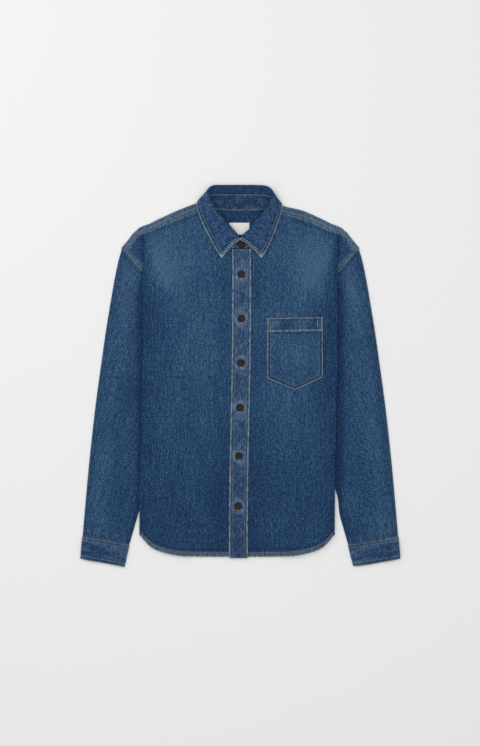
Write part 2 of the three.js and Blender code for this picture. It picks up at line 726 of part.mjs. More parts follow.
for (const [name, side] of [["left", 1], ["right", -1]]) {
  const sleeve = tube(sleeveEdges, SLEEVE_ROWS, CLOTH, sleeveLoft, sleeveColumns);
  add("sleeve_" + name, wall(onSide(sleeve, side, false), CLOTH, true));
  const cuff = tube(cuffEdges, CUFF_ROWS, DOUBLED, cuffLoft, () => steps(CUFF_COLUMNS));
  add("cuff_" + name, wall(onSide(cuff, side, false), DOUBLED, true), DARK_DENIM);
}

// Collar: sections between the rows of its table
function collarSection(at) {
  const place = clamp(at, 0, COLLAR.length - 1);
  const first = Math.min(COLLAR.length - 2, Math.floor(place));
  const t = place - first;
  const read = (name) => {
    const value = (index) => COLLAR[clamp(index, 0, COLLAR.length - 1)][name];
    const [p, q, r, s] = [value(first - 1), value(first), value(first + 1), value(first + 2)];
    const mirrored = ["footX", "foldX", "edgeX"].includes(name) ? -r : r;
    const before = first === 0 ? mirrored : p;
    const [bend, twist] = [2 * before - 5 * q + 4 * r - s, 3 * q - before - 3 * r + s];
    return 0.5 * (2 * q + (r - before) * t + bend * t ** 2 + twist * t ** 3);
  };
  const lean = THREE.MathUtils.degToRad(read("lean"));
  const bearing = THREE.MathUtils.degToRad(read("bearing"));
  const outside = new THREE.Vector3(
    Math.sin(lean) * Math.cos(bearing),
    Math.sin(lean) * Math.sin(bearing),
    -Math.cos(lean),
  );
  const foot = new THREE.Vector3(read("footX"), read("footY"), read("footZ"));
  const fold = new THREE.Vector3(read("foldX"), read("foldY"), read("foldZ"));
  const seam = new THREE.Vector3().lerpVectors(foot, fold, STAND_SHARE).setZ(read("seamZ"));
  return {
    foot,
    seam,
    fold,
    edge: new THREE.Vector3(read("edgeX"), read("edgeY"), read("edgeZ")),
    outside,
  };
}

const COLLAR_LAST = COLLAR.length - 1;
const collarStations = steps(COLLAR_STEPS * COLLAR_LAST).map((v) => collarSection(v * COLLAR_LAST));

function standHalf(side, lapped) {
  const rows = collarStations.map(({ foot, seam }) =>
    steps(3).map((s) => new THREE.Vector3().lerpVectors(foot, seam, s)),
  );
  const last = rows.at(-1);
  const end = last.map((point) => new THREE.Vector3(BAND_LEFT, point.y - 1.5, point.z));
  rows.push(last.map((point, index) => new THREE.Vector3().lerpVectors(point, end[index], 0.5)), end);
  const total = rows.length - 1;
  return rows.map((row, index) =>
    row.map((point) => {
      const near = smooth((index - total + 6) / 4);
      const rise = near * (lapped ? STAND_LAP_RISE / 2 : -STAND_LAP_RISE / 2);
      return new THREE.Vector3(point.x * side, point.y, point.z + rise);
    }),
  );
}

function fallHalf(side) {
  return collarStations.map(({ foot, seam, fold, edge, outside }, index) => {
    const nearFront = smooth((index / (collarStations.length - 1) - 0.45) / 0.4);
    const inner = new THREE.Vector3().lerpVectors(seam, fold, mix(0.14, 0.72, nearFront));
    const up = new THREE.Vector3().subVectors(fold, nearFront > 0.5 ? foot : seam).normalize();
    const out = outside.clone().addScaledVector(up, -outside.dot(up)).normalize();
    const points = [inner, fold.clone()];
    for (const degrees of [60, 120]) {
      const turn = THREE.MathUtils.degToRad(degrees);
      const crown = fold.clone().addScaledVector(out, (FOLD_SPREAD / 2) * (1 - Math.cos(turn)));
      points.push(crown.addScaledVector(up, (FOLD_SPREAD / 2) * Math.sin(turn)));
    }
    const outer = fold.clone().addScaledVector(out, FOLD_SPREAD);
    for (const s of steps(4)) points.push(new THREE.Vector3().lerpVectors(outer, edge, s));
    return points.map((point) => new THREE.Vector3(point.x * side, point.y, point.z));
  });
}

function ring(left, right) {
  return withNormals([...left.slice(1).reverse(), ...right]);
}

add("collar_stand", wall(ring(standHalf(-1, false), standHalf(1, true)), DOUBLED), DARK_DENIM);
add("collar_fall", wall(ring(fallHalf(-1), fallHalf(1)), DOUBLED), DARK_DENIM);

// Neck label, on the inside of the yoke
function labelPiece() {
  const z = CLOTH + GAP + LABEL_THICKNESS / 2;
  const rows = steps(2).map((v) =>
    steps(3).map((u) => ({
      point: new THREE.Vector3(mix(LABEL.left, LABEL.right, u), mix(LABEL.top, LABEL.bottom, v), z),
      normal: new THREE.Vector3(0, 0, 1),
    })),
  );
  return wall(rows, LABEL_THICKNESS);
}
add("neck_label", labelPiece(), LABEL_WHITE, 0.7);

// Buttons, each turned about its own upright axis
function buttonAt(x, y, z) {
  const { radius, rim, height, dish } = BUTTON;
  const profile = [
    [0, 0],
    [radius - 1, 0],
    [radius, height * 0.4],
    [radius - 0.7, height],
    [radius - rim - 0.6, height],
    [radius - rim - 1.4, height - dish],
    [0, height - dish],
  ].map(([r, h]) => new THREE.Vector2(r, h));
  const geometry = new THREE.LatheGeometry(profile, BUTTON_SIDES);
  geometry.deleteAttribute("normal");
  geometry.deleteAttribute("uv");
  return geometry.rotateX(Math.PI / 2).translate(x, y, z);
}

add("button_1", buttonAt(BUTTON_X, COLLAR_BUTTON_Y, COLLAR_BUTTON_Z), HORN, 0.35);
BUTTON_YS.forEach((y, index) => {
  add("button_" + (index + 2), buttonAt(BUTTON_X + drift(y), y, BAND_SKIN + GAP), HORN, 0.35);
});
for (const [name, side] of [["left", 1], ["right", -1]])
  add("button_cuff_" + name, buttonAt(side * CUFF_BUTTON.x, CUFF_BUTTON.y, 0), HORN, 0.35);

export default shirt;
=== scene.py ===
"""Denim shirt laid flat: cloth shells, seams, stitches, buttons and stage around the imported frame."""

import math

import bpy
import numpy as np
from bpy.props import FloatProperty, FloatVectorProperty, PointerProperty
from mathutils import Matrix, Vector, noise
from mathutils.bvhtree import BVHTree


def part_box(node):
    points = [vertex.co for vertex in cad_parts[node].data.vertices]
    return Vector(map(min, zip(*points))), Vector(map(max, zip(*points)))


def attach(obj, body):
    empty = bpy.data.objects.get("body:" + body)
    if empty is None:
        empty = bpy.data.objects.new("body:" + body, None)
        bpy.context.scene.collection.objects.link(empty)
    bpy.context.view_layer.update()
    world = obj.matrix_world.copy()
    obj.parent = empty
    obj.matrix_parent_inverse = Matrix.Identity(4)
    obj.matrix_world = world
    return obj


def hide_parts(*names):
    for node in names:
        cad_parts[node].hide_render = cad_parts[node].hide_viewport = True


bl_info = {
    "name": "Denim Shirt",
    "version": (1, 0, 0),
    "blender": (4, 5, 0),
    "location": "View3D > Sidebar > Shirt",
    "description": "Builds a denim shirt that lies flat, with its stage",
    "category": "Object",
}

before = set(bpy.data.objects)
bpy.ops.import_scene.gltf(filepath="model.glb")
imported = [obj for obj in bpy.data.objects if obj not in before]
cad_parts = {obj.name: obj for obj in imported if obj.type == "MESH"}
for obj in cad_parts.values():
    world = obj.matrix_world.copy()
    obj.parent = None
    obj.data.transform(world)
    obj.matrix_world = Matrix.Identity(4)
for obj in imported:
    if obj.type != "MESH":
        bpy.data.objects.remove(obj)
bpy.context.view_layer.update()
MM = 0.001

# Cloth, in millimetres, as in the solids
CLOTH = 1.2
GAP = 0.3
DOUBLED = 2.0
PITCH = 2 * (CLOTH + GAP)
FLOOR_LEVEL = CLOTH + GAP / 2
APART = (CLOTH + GAP) / 2

# Body
SIDE_X = 204.0
BEND_LENGTH = math.pi * PITCH / 2
YOKE_SIDE_Y = 299.0
SHOULDER_SIDE_Y = 314.0
FOLDED_Y = 284.0
SQUARE_Y = 110.0
BACK_SEAM_Y = 245.0
HEM_START_Y = -200.0
HEM_SIDE_Y = -338.0
HEM_BAND = 10.0
HEM_LIFT = 46.0
RAMP = 19.0
RAMP_CLEAR = 4.0
DRIFT = -7.0
DRIFT_FROM_Y = 150.0
DRIFT_LENGTH = 480.0
UNDERARM = (104.0, 100.0)
SHOULDER_POINT = (250.0, 267.0)
ARMHOLE_SLOPE = (SHOULDER_POINT[0] - UNDERARM[0]) / (SHOULDER_POINT[1] - UNDERARM[1])
ARMHOLE_SLANT = math.hypot(1, ARMHOLE_SLOPE)
ARMHOLE_BAND = 11.0
SLEEVE_IN_SLOPE = 0.29
NECK_X = 80.0
STRAIGHT_TO_X = 157.0
STRAIGHT_PAST_SIDE = 10.0
SEAM_FALL = 40 / 29
SHOULDER_FALL = 43 / 36
BAND_LEFT, BAND_RIGHT = -17.0, 22.5
BAND_TOP, BAND_BOTTOM = 267.5, -386.0
LAP_EDGE = 19.6

# Edges at distance x from the middle
NECK_AND_YOKE_SEAM = {
    "x": [-20, 0, 20, 45, 56, 66, 73, 80, 96, 157, 204],
    "y": [270, 268, 270, 283, 294, 308, 322, 349, 344.7, 320.5, 299],
}
BACK_ROWS_SHAPE = {"x": [0, 50, 80, 110, 157, 204], "y": [318, 322, 335, 336, 320.5, 299]}
SHOULDER_LINE = {
    "x": [0, 50, 66, 73, 80, 94, 135, 178, 204],
    "y": [350, 352.5, 357, 361, 367, 364, 348, 328, 314],
}
HEM = {
    "x": [-20, 60, 110, 135, 150, 165, 180, 192, 204],
    "y": [-384, -383.5, -382.5, -379.5, -376, -371.5, -364.5, -354, -338],
}
SIDE_SEAM = {"y": [-338, -100, 100], "x": [114, 118, 103.5]}
SLEEVE_OUTER = {
    "y": [-341, -306, -221, -136, -51, 33, 76, 118, 160, 203, 245, 267],
    "x": [333, 330, 322.5, 314, 304, 292.5, 286.5, 280, 273, 265.5, 256.5, 250],
}
CUFF_SEAM = ((237.0, -358.0), (333.0, -341.0))
CUFF_END = ((247.5, -405.0), (337.0, -388.0))
SLEEVE_LOFT = 5.0
SLEEVE_CLEAR_X = 217.0
CUFF_BUTTON = (314.0, -366.0)
CUFF_RISE = 3.4
CUFF_LENGTH = 47.0
CUFF_WIDTH = 95.0
GATHER_PITCH = 19.375

# Buttons and pocket
BUTTON_X = 2.2
BUTTON_YS = [215, 121, 27, -68, -170, -276]
POCKET = {"left": 57.0, "right": 174.0, "hem_top": 121.4, "hem_bottom": 91.9, "side": -5.5, "point": -31.0}
POCKET_TILT = 2.3

# Collar sections from the middle of the back to the front end, as in the solids
COLLAR = {
    "foot_x": [0, 34, 57, 71, 76, 75.5, 70, 58, 38, 17],
    "foot_y": [349, 350, 353, 359, 355, 341, 322, 302, 283, 272],
    "foot_z": [2.6, 2.6, 2.7, 3.6, 4, 4, 4, 4, 4, 4],
    "seam_z": [4.8, 4.9, 6.5, 10.5, 12.5, 11.5, 9, 6.6, 4.6, 4],
    "fold_x": [0, 34, 56, 66, 66.5, 59, 46, 30, 15, 2.4],
    "fold_y": [401.5, 401.5, 400.5, 393, 381, 362, 342, 324, 307, 292],
    "fold_z": [6, 6.2, 8.6, 14, 17.5, 17, 14.5, 12.4, 11, 10.6],
    "edge_x": [0, 35, 64, 84, 92, 88.5, 79, 67, 53.5, 39.5],
    "edge_y": [376, 376, 375.5, 374.5, 364, 343, 320, 295, 270, 248.5],
    "edge_z": [1.1, 1.1, 1.3, 4.6, 5.2, 5.2, 5.4, 5.8, 6.4, 6.8],
    "lean": [3, 4, 20, 60, 90, 112, 135, 155, 165, 168],
    "bearing": [90, 90, 75, 48, 20, -5, -25, -38, -45, -52],
}
STAND_SHARE = 0.66
FOLD_SPREAD = 2.8
STAND_LAP_RISE = 2.4

# Soft folds, each as x, y, turn in degrees, reach along, reach across and height
BODY_CREASES = [
    (-120, 60, 97, 150, 10, 1.0),
    (-60, -190, 86, 120, 12, 0.9),
    (75, -130, 93, 140, 11, 0.9),
    (150, -230, 80, 100, 10, 0.8),
    (-165, -150, 95, 140, 9, 0.9),
    (-100, 215, 60, 60, 9, 0.8),
    (110, 220, 118, 60, 9, 0.8),
]
SLEEVE_FOLDS = [
    (262, 150, 100, 60, 12, 2.5),
    (285, 30, 96, 90, 13, 3),
    (250, -60, 104, 90, 14, 3),
    (300, -180, 98, 80, 13, 2.6),
    (262, -270, 92, 60, 12, 2.8),
    (236, 168, 60, 26, 6, 1.6),
    (250, 190, 75, 24, 5, 1.3),
    (262, -326, 100, 22, 5, 1.6),
    (283, -320, 96, 24, 5, 1.8),
    (304, -316, 94, 22, 5, 1.5),
]
BACK_CREASES = [
    (-95, -60, 92, 130, 12, 1.6),
    (100, -150, 84, 110, 13, 1.5),
    (60, 60, 97, 100, 12, 1.4),
    (-120, 120, 78, 80, 11, 1.3),
]
# Pulls that differ from sleeve to sleeve, at x with its side's sign
SLEEVE_PULLS = [
    (-250, 168, 62, 30, 6, 1.6),
    (-246, 130, 108, 40, 7, 1.4),
    (-282, -90, 84, 50, 8, 1.5),
    (-270, -220, 100, 40, 8, 1.4),
    (248, 160, 118, 32, 6, 1.5),
    (268, 90, 82, 44, 8, 1.3),
    (290, -130, 100, 50, 8, 1.5),
    (262, -235, 80, 40, 8, 1.4),
]

FINE = 4.0
FRONT_LOFT = 1.6
# Steps round an edge in degrees, from its top to its underside
TURNS = (30, 60, 90, 120, 150)


def smooth(value):
    t = min(1.0, max(0.0, value))
    return t * t * (3 - 2 * t)


def mix(a, b, share):
    return a + (b - a) * share


def along(table, by, out, at):
    return float(np.interp(at, table[by], table[out]))


def curved(table, by, out, at):
    """Reads a table along a smooth curve through its rows."""
    xs, ys = table[by], table[out]
    at = min(max(at, xs[0]), xs[-1])
    n = max(0, min(len(xs) - 2, int(np.searchsorted(xs, at)) - 1))
    slopes = np.diff(ys) / np.diff(xs)

    def slope(k):
        if k in (0, len(xs) - 1):
            return slopes[min(k, len(slopes) - 1)]
        left, right = slopes[k - 1], slopes[k]
        return 0.0 if left * right <= 0 else 2 * left * right / (left + right)

    step = xs[n + 1] - xs[n]
    t = (at - xs[n]) / step
    a, b = slope(n) * step, slope(n + 1) * step
    return float(
        ys[n] * (1 + 2 * t) * (1 - t) ** 2 + a * t * (1 - t) ** 2
        + ys[n + 1] * t * t * (3 - 2 * t) + b * t * t * (t - 1)
    )


def drift(y):
    return DRIFT * smooth((DRIFT_FROM_Y - y) / DRIFT_LENGTH)


def armhole_x(y):
    return UNDERARM[0] + (y - UNDERARM[1]) * ARMHOLE_SLOPE


def fold_turn(y):
    return math.pi * smooth((YOKE_SIDE_Y - y) / (YOKE_SIDE_Y - FOLDED_Y))


def turned_in_x(y):
    if y < UNDERARM[1]:
        return along(SIDE_SEAM, "y", "x", y)
    share = min(1.0, max(0.0, (FOLDED_Y - y) / (FOLDED_Y - UNDERARM[1])))
    return mix(SIDE_X - 1, along(SIDE_SEAM, "y", "x", UNDERARM[1]), share)


def sleeve_in_x(y):
    return UNDERARM[0] + (UNDERARM[1] - y) * SLEEVE_IN_SLOPE


def lowest_in_x(y):
    return turned_in_x(y) if y >= UNDERARM[1] else sleeve_in_x(y) - abs(drift(y))


def ramps(y):
    high_end = min(lowest_in_x(y) - RAMP_CLEAR, SIDE_X - 1)
    high_start = min(lowest_in_x(y) - RAMP_CLEAR - RAMP, SIDE_X - 13)
    low_end = min(turned_in_x(y) - RAMP_CLEAR, high_start - 0.5)
    return low_end - RAMP, low_end, high_start, high_end


def bend_drop(turn):
    half = turn / 2
    return 0.0 if half < 1e-6 else BEND_LENGTH * math.sin(half) ** 2 / half


def stack_height(row):
    if row <= UNDERARM[1]:
        return 2 * PITCH
    turn = fold_turn(row)
    return 2 * bend_drop(turn) + math.sin(turn)


def high_slope(x, y):
    return smooth((x - lowest_in_x(y) + RAMP_CLEAR + RAMP) / RAMP)


def main_level(x, y, row):
    low_start, low_end, _, _ = ramps(y)
    low = smooth((x - low_start) / (low_end - low_start))
    return FLOOR_LEVEL + stack_height(row) / 2 * (low + high_slope(x, y))


def front_loft(x, y):
    across = smooth((x - 30) / 40) * smooth((SIDE_X - 14 - x) / 50)
    up = smooth((y + 360) / 120) * smooth((285 - y) / 70)
    waves = 1 + 0.5 * math.sin(x / 17 + y / 90) * math.sin(y / 60 + 1)
    return FRONT_LOFT * across * up * waves


def ridges(x, y, folds):
    """Height that a table of soft folds adds at (x, y)."""
    def height_of(at_x, at_y, degrees, reach, width, height):
        turn = math.radians(degrees)
        dx, dy = x - at_x, y - at_y
        lengthwise = (dx * math.cos(turn) + dy * math.sin(turn)) / reach
        crosswise = (dy * math.cos(turn) - dx * math.sin(turn)) / width
        return height * math.exp(-lengthwise**2 - crosswise**2)
    return sum(height_of(*fold) for fold in folds)


def hem_share(row):
    return smooth((HEM_START_Y - row) / (HEM_START_Y - HEM_SIDE_Y))


def hem_sag(x, row):
    return hem_share(row) * (curved(HEM, "x", "y", x) - HEM_SIDE_Y)


def front_curtain(x, row):
    share = smooth((row - SQUARE_Y) / (FOLDED_Y - SQUARE_Y))
    return row + share * (along(NECK_AND_YOKE_SEAM, "x", "y", x) - YOKE_SIDE_Y) + hem_sag(x, row)


def back_curtain(x, row):
    share = smooth((row - SQUARE_Y) / (FOLDED_Y - SQUARE_Y))
    arch = smooth((row - BACK_SEAM_Y) / (FOLDED_Y - BACK_SEAM_Y))
    near = along(NECK_AND_YOKE_SEAM, "x", "y", max(x, STRAIGHT_TO_X)) - YOKE_SIDE_Y
    far = along(BACK_ROWS_SHAPE, "x", "y", x) - YOKE_SIDE_Y - near
    y = min(row, YOKE_SIDE_Y) + share * near + arch * far + hem_sag(x, row)
    above = min(1.0, max(0.0, (row - YOKE_SIDE_Y) / (SHOULDER_SIDE_Y - YOKE_SIDE_Y)))
    return mix(y, along(SHOULDER_LINE, "x", "y", x), above)


def yoke_curtain(x, row):
    above = (row - YOKE_SIDE_Y) / (SHOULDER_SIDE_Y - YOKE_SIDE_Y)
    return mix(along(NECK_AND_YOKE_SEAM, "x", "y", x), along(SHOULDER_LINE, "x", "y", x), above)


def outer_fall(x, row):
    above = min(1.0, max(0.0, (row - YOKE_SIDE_Y) / (SHOULDER_SIDE_Y - YOKE_SIDE_Y)))
    share = smooth((row - SQUARE_Y) / (FOLDED_Y - SQUARE_Y))
    return share * mix(SEAM_FALL, SHOULDER_FALL, above) * max(0.0, x - SIDE_X - STRAIGHT_PAST_SIDE)


def armhole_end(row):
    low, high = UNDERARM[0], SHOULDER_POINT[0] + 10
    for _ in range(30):
        x = (low + high) / 2
        if x < armhole_x(row - outer_fall(x, row)):
            low = x
        else:
            high = x
    return low


# Steps of a body row: on a ramp, between the ramps, round a bend, inwards and outwards beneath
RAMP_STEPS, BETWEEN_STEPS, BEND_STEPS, IN_STEPS, OUT_STEPS = 4, 8, 6, 12, 8
SLOPE_NODES = 2 * (RAMP_STEPS + 1) + BETWEEN_STEPS
UNDER_NODES = BEND_STEPS + IN_STEPS


def shares(count):
    return [n / count for n in range(count + 1)]


def body_row(row, curtain, inner):
    """One row of the middle surface from its inner edge out over the side, as (x, y, z)."""
    nodes = []
    level = min(row, YOKE_SIDE_Y)

    def put(pick):
        y = level
        for _ in range(8):
            x = pick(ramps(min(y, YOKE_SIDE_Y)))
            y = curtain(x, row)
        nodes.append((x, y, main_level(x, min(y, YOKE_SIDE_Y), level)))

    top_start = ramps(YOKE_SIDE_Y)[0]
    first = inner[0]
    for column in inner:
        put(lambda r, c=column: first + (c - first) * (r[0] - first) / (top_start - first))
    between_ramps = shares(BETWEEN_STEPS + 1)[1:-1]
    for first_mark, steps in ((0, shares(RAMP_STEPS)), (1, between_ramps), (2, shares(RAMP_STEPS))):
        for share in steps:
            put(lambda r, k=first_mark, s=share: mix(r[k], r[k + 1], s))
    nodes.append((SIDE_X, row, main_level(SIDE_X, row, level)))

    turn = fold_turn(row) if row > UNDERARM[1] else math.pi
    x, z, heading = SIDE_X, nodes[-1][2], 0.0

    def bend(amount):
        nonlocal x, z, heading
        for _ in range(BEND_STEPS):
            half = amount / BEND_STEPS / 2
            chord = BEND_LENGTH / BEND_STEPS * (1 if abs(half) < 1e-6 else math.sin(half) / half)
            heading += half
            x += chord * math.cos(heading)
            z -= chord * math.sin(heading)
            heading += half
            nodes.append((x, row, z))

    bend(turn)
    inner_x = turned_in_x(row) if row > UNDERARM[1] else along(SIDE_SEAM, "y", "x", row)
    folded = turn > math.pi - 1e-6
    reach = x - inner_x if folded else 1.0
    from_x, from_z = x, z
    for share in shares(IN_STEPS)[1:]:
        x = from_x + share * reach * math.cos(turn)
        flat = FLOOR_LEVEL + PITCH * (high_slope(x, row) if row < UNDERARM[1] else 1)
        z = flat if folded else from_z - share * reach * math.sin(turn)
        lift = hem_share(row) * HEM_LIFT * smooth((SIDE_X - x) / 90) if row < UNDERARM[1] else 0
        nodes.append((x, row + lift, z))
    if row < UNDERARM[1]:
        return nodes
    bend(-turn)
    end = armhole_end(row)
    for share in shares(OUT_STEPS)[1:]:
        place = mix(x, end, share)
        nodes.append((place, row - outer_fall(place, row), FLOOR_LEVEL))
    return nodes


def layer(nodes, offset):
    """One layer of a pair: the middle points moved out along the row's own normals."""
    made = []
    for n, (x, y, z) in enumerate(nodes):
        before, after = nodes[max(0, n - 1)], nodes[min(len(nodes) - 1, n + 1)]
        nx, nz = before[2] - after[2], after[0] - before[0]
        size = math.hypot(nx, nz) or 1.0
        made.append((x + offset * nx / size, y, z + offset * nz / size))
    return made


def with_way(points, start=0.0):
    """The points of a row, each with its number and its way along the row in millimetres."""
    ways = [start]
    for a, b in zip(points, points[1:]):
        ways.append(ways[-1] + math.hypot(b[0] - a[0], b[2] - a[2]))
    return [(n, *point, way) for n, (point, way) in enumerate(zip(points, ways))]


def spread(start, stop, step):
    return [mix(start, stop, share) for share in shares(max(1, round(abs(stop - start) / step)))]


def rows_between(marks, step):
    rows = [marks[0]]
    for a, b in zip(marks, marks[1:]):
        rows += spread(a, b, step)[1:]
    return rows


FOLD_ROWS = [299, 296.5, 294, 291.5, 289, 286.5, 284]


# Mesh helpers
def clear_selection():
    if bpy.context.object and bpy.context.object.mode != "OBJECT":
        bpy.ops.object.mode_set(mode="OBJECT")
    bpy.ops.object.select_all(action="DESELECT")


def take(piece):
    clear_selection()
    bpy.context.view_layer.objects.active = piece
    piece.select_set(True)


def merge_all():
    """Joins the points that coincide in the mesh being edited, and turns its faces outwards."""
    bpy.ops.mesh.select_all(action="SELECT")
    bpy.ops.mesh.remove_doubles(threshold=0.00001)
    bpy.ops.mesh.normals_make_consistent(inside=False)
    bpy.ops.object.mode_set(mode="OBJECT")


def apply_modifier(piece, kind, **settings):
    take(piece)
    modifier = piece.modifiers.new(kind.title(), kind)
    for name, value in settings.items():
        setattr(modifier, name, value)
    bpy.ops.object.modifier_apply(modifier=modifier.name)


def settle(x, y):
    """Where a point of the cloth comes to lie: small unevenness, the same for all layers there."""
    away = abs(x)
    corner = 2.4 * bump_at(away, 203, 6.5) - 2.6 * bump_at(away, 215.5, 5) + 2.0 * bump_at(away, 230, 8)
    lower = -6.5 * bump_at(x, 90, 30) * smooth((y - 322) / 26)
    inwards = -7.0 * smooth((x - 202) / 12) * smooth((285 - x) / 45) * smooth((-245 - y) / 60)
    lower += 4.0 * bump_at(x, 236, 14) * smooth((-380 - y) / 20)
    return x + inwards, y + corner * smooth((y - 286) / 20) + lower


# Marks of each point: wear and fade lighten the denim; shade darkens it, mostly as painted shade in folds,
# hollows, beside seams, inside the neck and where pieces lie over others, with some random darker blotches.
MARKS = ("wear", "fade", "shade")
CLOTH_NAME = "_cloth"


def node(x, y, z, u, v, wear=0.0, fade=0.0, shade=0.0):
    """A point of a sheet in millimetres, its cloth coordinates and how it looks there."""
    return (x, y, z, u, v, wear, fade, shade)


def sheet_from(name, rows, thickness, wraps=False):
    """A cloth sheet from a grid of nodes, given its thickness. What a None stands for is cut away."""
    if wraps:
        rows = [[*row, (*row[0][:3], row[-1][3] + 0.006, *row[0][4:])] for row in rows]
    width = max(len(row) for row in rows)
    clear_selection()
    bpy.ops.mesh.primitive_grid_add(x_subdivisions=width - 1, y_subdivisions=len(rows) - 1, size=1)
    piece = bpy.context.object
    piece.name = piece.data.name = name + CLOTH_NAME
    mesh = piece.data
    filled, kept = [], []
    for row in rows:
        last = next(n for n in row if n)
        for place in range(width):
            found = row[place] if place < len(row) else None
            kept.append(found is not None)
            last = found or last
            filled.append(last)
    values = np.array(filled, np.float32)
    values[:, :2] = [settle(x, y) for x, y in values[:, :2]]
    mesh.vertices.foreach_set("co", (values[:, :3] * MM).ravel())
    corners = np.zeros(len(mesh.loops), np.int32)
    mesh.loops.foreach_get("vertex_index", corners)
    mesh.uv_layers.active.data.foreach_set("uv", (values[corners, 3:5] * MM).ravel())
    for place, mark in enumerate(MARKS):
        attribute = mesh.attributes.new(mark, "FLOAT", "POINT")
        attribute.data.foreach_set("value", values[:, 5 + place].copy())
    bpy.ops.object.mode_set(mode="EDIT")
    bpy.ops.mesh.select_mode(type="VERT")
    bpy.ops.mesh.select_all(action="DESELECT")
    bpy.ops.object.mode_set(mode="OBJECT")
    if not all(kept):
        mesh.vertices.foreach_set("select", [not keep for keep in kept])
        bpy.ops.object.mode_set(mode="EDIT")
        bpy.ops.mesh.delete(type="VERT")
        bpy.ops.object.mode_set(mode="OBJECT")
    if wraps:
        bpy.ops.object.mode_set(mode="EDIT")
        merge_all()
    apply_modifier(piece, "SOLIDIFY", thickness=thickness * MM, offset=0, use_even_offset=False)
    take(piece)
    bpy.ops.object.shade_smooth_by_angle(angle=math.radians(50))
    return piece


def finish_piece(piece, material, slot, *nodes):
    piece.data.materials.clear()
    piece.data.materials.append(material)
    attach(piece, "root")
    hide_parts(*nodes)


def build_cloth(name, rows, thickness, slot, wraps=False):
    """A cloth piece from its grid of nodes, with its finish and its own sizes in metres."""
    piece = sheet_from(name, rows, thickness, wraps)
    finish_piece(piece, FINISHES[slot](), slot, name)


def on_side(rows, side, drifts=True):
    def moved(x, y, z, u, *rest):
        return (x * side + (drift(y) if drifts else 0), y, z, u * side, *rest)
    return [[n and moved(*n) for n in row] for row in rows]


def joined(left, right):
    """The two halves of a sheet as one grid, from the far end of the left one."""
    longest = max(len(row) for row in left)
    sides = [on_side([[*row, *[None] * (longest - len(row))] for row in half], side)
             for half, side in ((left, -1), (right, 1))]
    return [[*reversed(a[1:]), *b] for a, b in zip(*sides)]


def surface_of(*names):
    """A ray target over several pieces, to find what lies on top at (x, y)."""
    points, faces = [], []
    for name in names:
        start = len(points)
        mesh = bpy.data.objects[name + CLOTH_NAME].data
        points += [v.co.copy() for v in mesh.vertices]
        faces += [[start + i for i in p.vertices] for p in mesh.polygons]
    return BVHTree.FromPolygons(points, faces)


def height_at(tree, x, y, default=0.0):
    hit = tree.ray_cast(Vector((x * MM, y * MM, 0.1)), Vector((0, 0, -1)))[0]
    return default if hit is None else hit.z / MM


def highest_near(tree, x, y, reach):
    around = ((0, 0), (reach, 0), (-reach, 0), (0, reach), (0, -reach))
    return max(height_at(tree, x + dx, y + dy) for dx, dy in around)


def bump_at(value, middle, width):
    return math.exp(-(((value - middle) / width) ** 2))


def patch(x, y, at_x, at_y, wide, long):
    return math.exp(-(((x - at_x) / wide) ** 2) - ((y - at_y) / long) ** 2)


def uneven(x, y, wide, long, seed):
    """Smooth noise over the cloth, in patches of about `wide` by `long` millimetres."""
    return noise.noise(Vector((x / wide, y / long, seed)))


def pucker(along_seam, away, start, reach, depth, pitch=12.5):
    """Small ripples beside a seam, strongest at `start` from it and gone `reach` further on."""
    share = smooth((start + reach - away) / reach) * smooth(away / 2.0)
    swell = 1 + 0.7 * math.sin(along_seam / 31.0 + 1.3)
    shift = 1.5 * math.sin(along_seam / 23.0)
    return depth * share * swell * math.sin(along_seam / pitch * math.tau + shift)


def rumple(x, y, scale=38.0):
    return uneven(x, y, scale, scale * 2.4, 3.1)


# Where the cloth is faded, and where it is darker: painted shade at its turned sides, darker beside the
# placket and towards the bottom
def body_fade(x, y):
    outer_chest = 1.15 * patch(abs(x), y, 162, 238, 44, 68)
    chest = 0.24 * patch(abs(x), y, 100, 150, 70, 120)
    return outer_chest + chest + 0.1 * patch(abs(x), y, 90, -40, 60, 90)


def body_shade(x, y):
    # Painted shade where the sides round over into their turned-under fold.
    side = 0.3 * smooth((abs(x) - 165) / 34) * smooth((260 - y) / 120) + 0.8 * smooth((abs(x) - 195) / 9)
    low = 0.62 * smooth((20 - y) / 330)
    middle = 0.35 * bump_at(abs(x), 34, 20) * smooth((275 - y) / 60)
    return side + low + middle


def front_creases(x, y):
    """Height that the front's creases, ripples and unevenness add at (x, y), 0 at its edges."""
    inside = smooth((SIDE_X - 8 - abs(x)) / 26) * smooth((abs(x) - 25) / 16)
    pull = 0.0
    for button_y in BUTTON_YS:
        away = max(0.0, abs(x) - 25)
        pull += 0.7 * bump_at(y - 3 * math.sin(away / 12), button_y, 8) * math.exp(-away / 30)
    return inside * (ridges(x, y, BODY_CREASES) + 0.5 * rumple(x, y) + 0.3) + pull * smooth((abs(x) - 24) / 9)


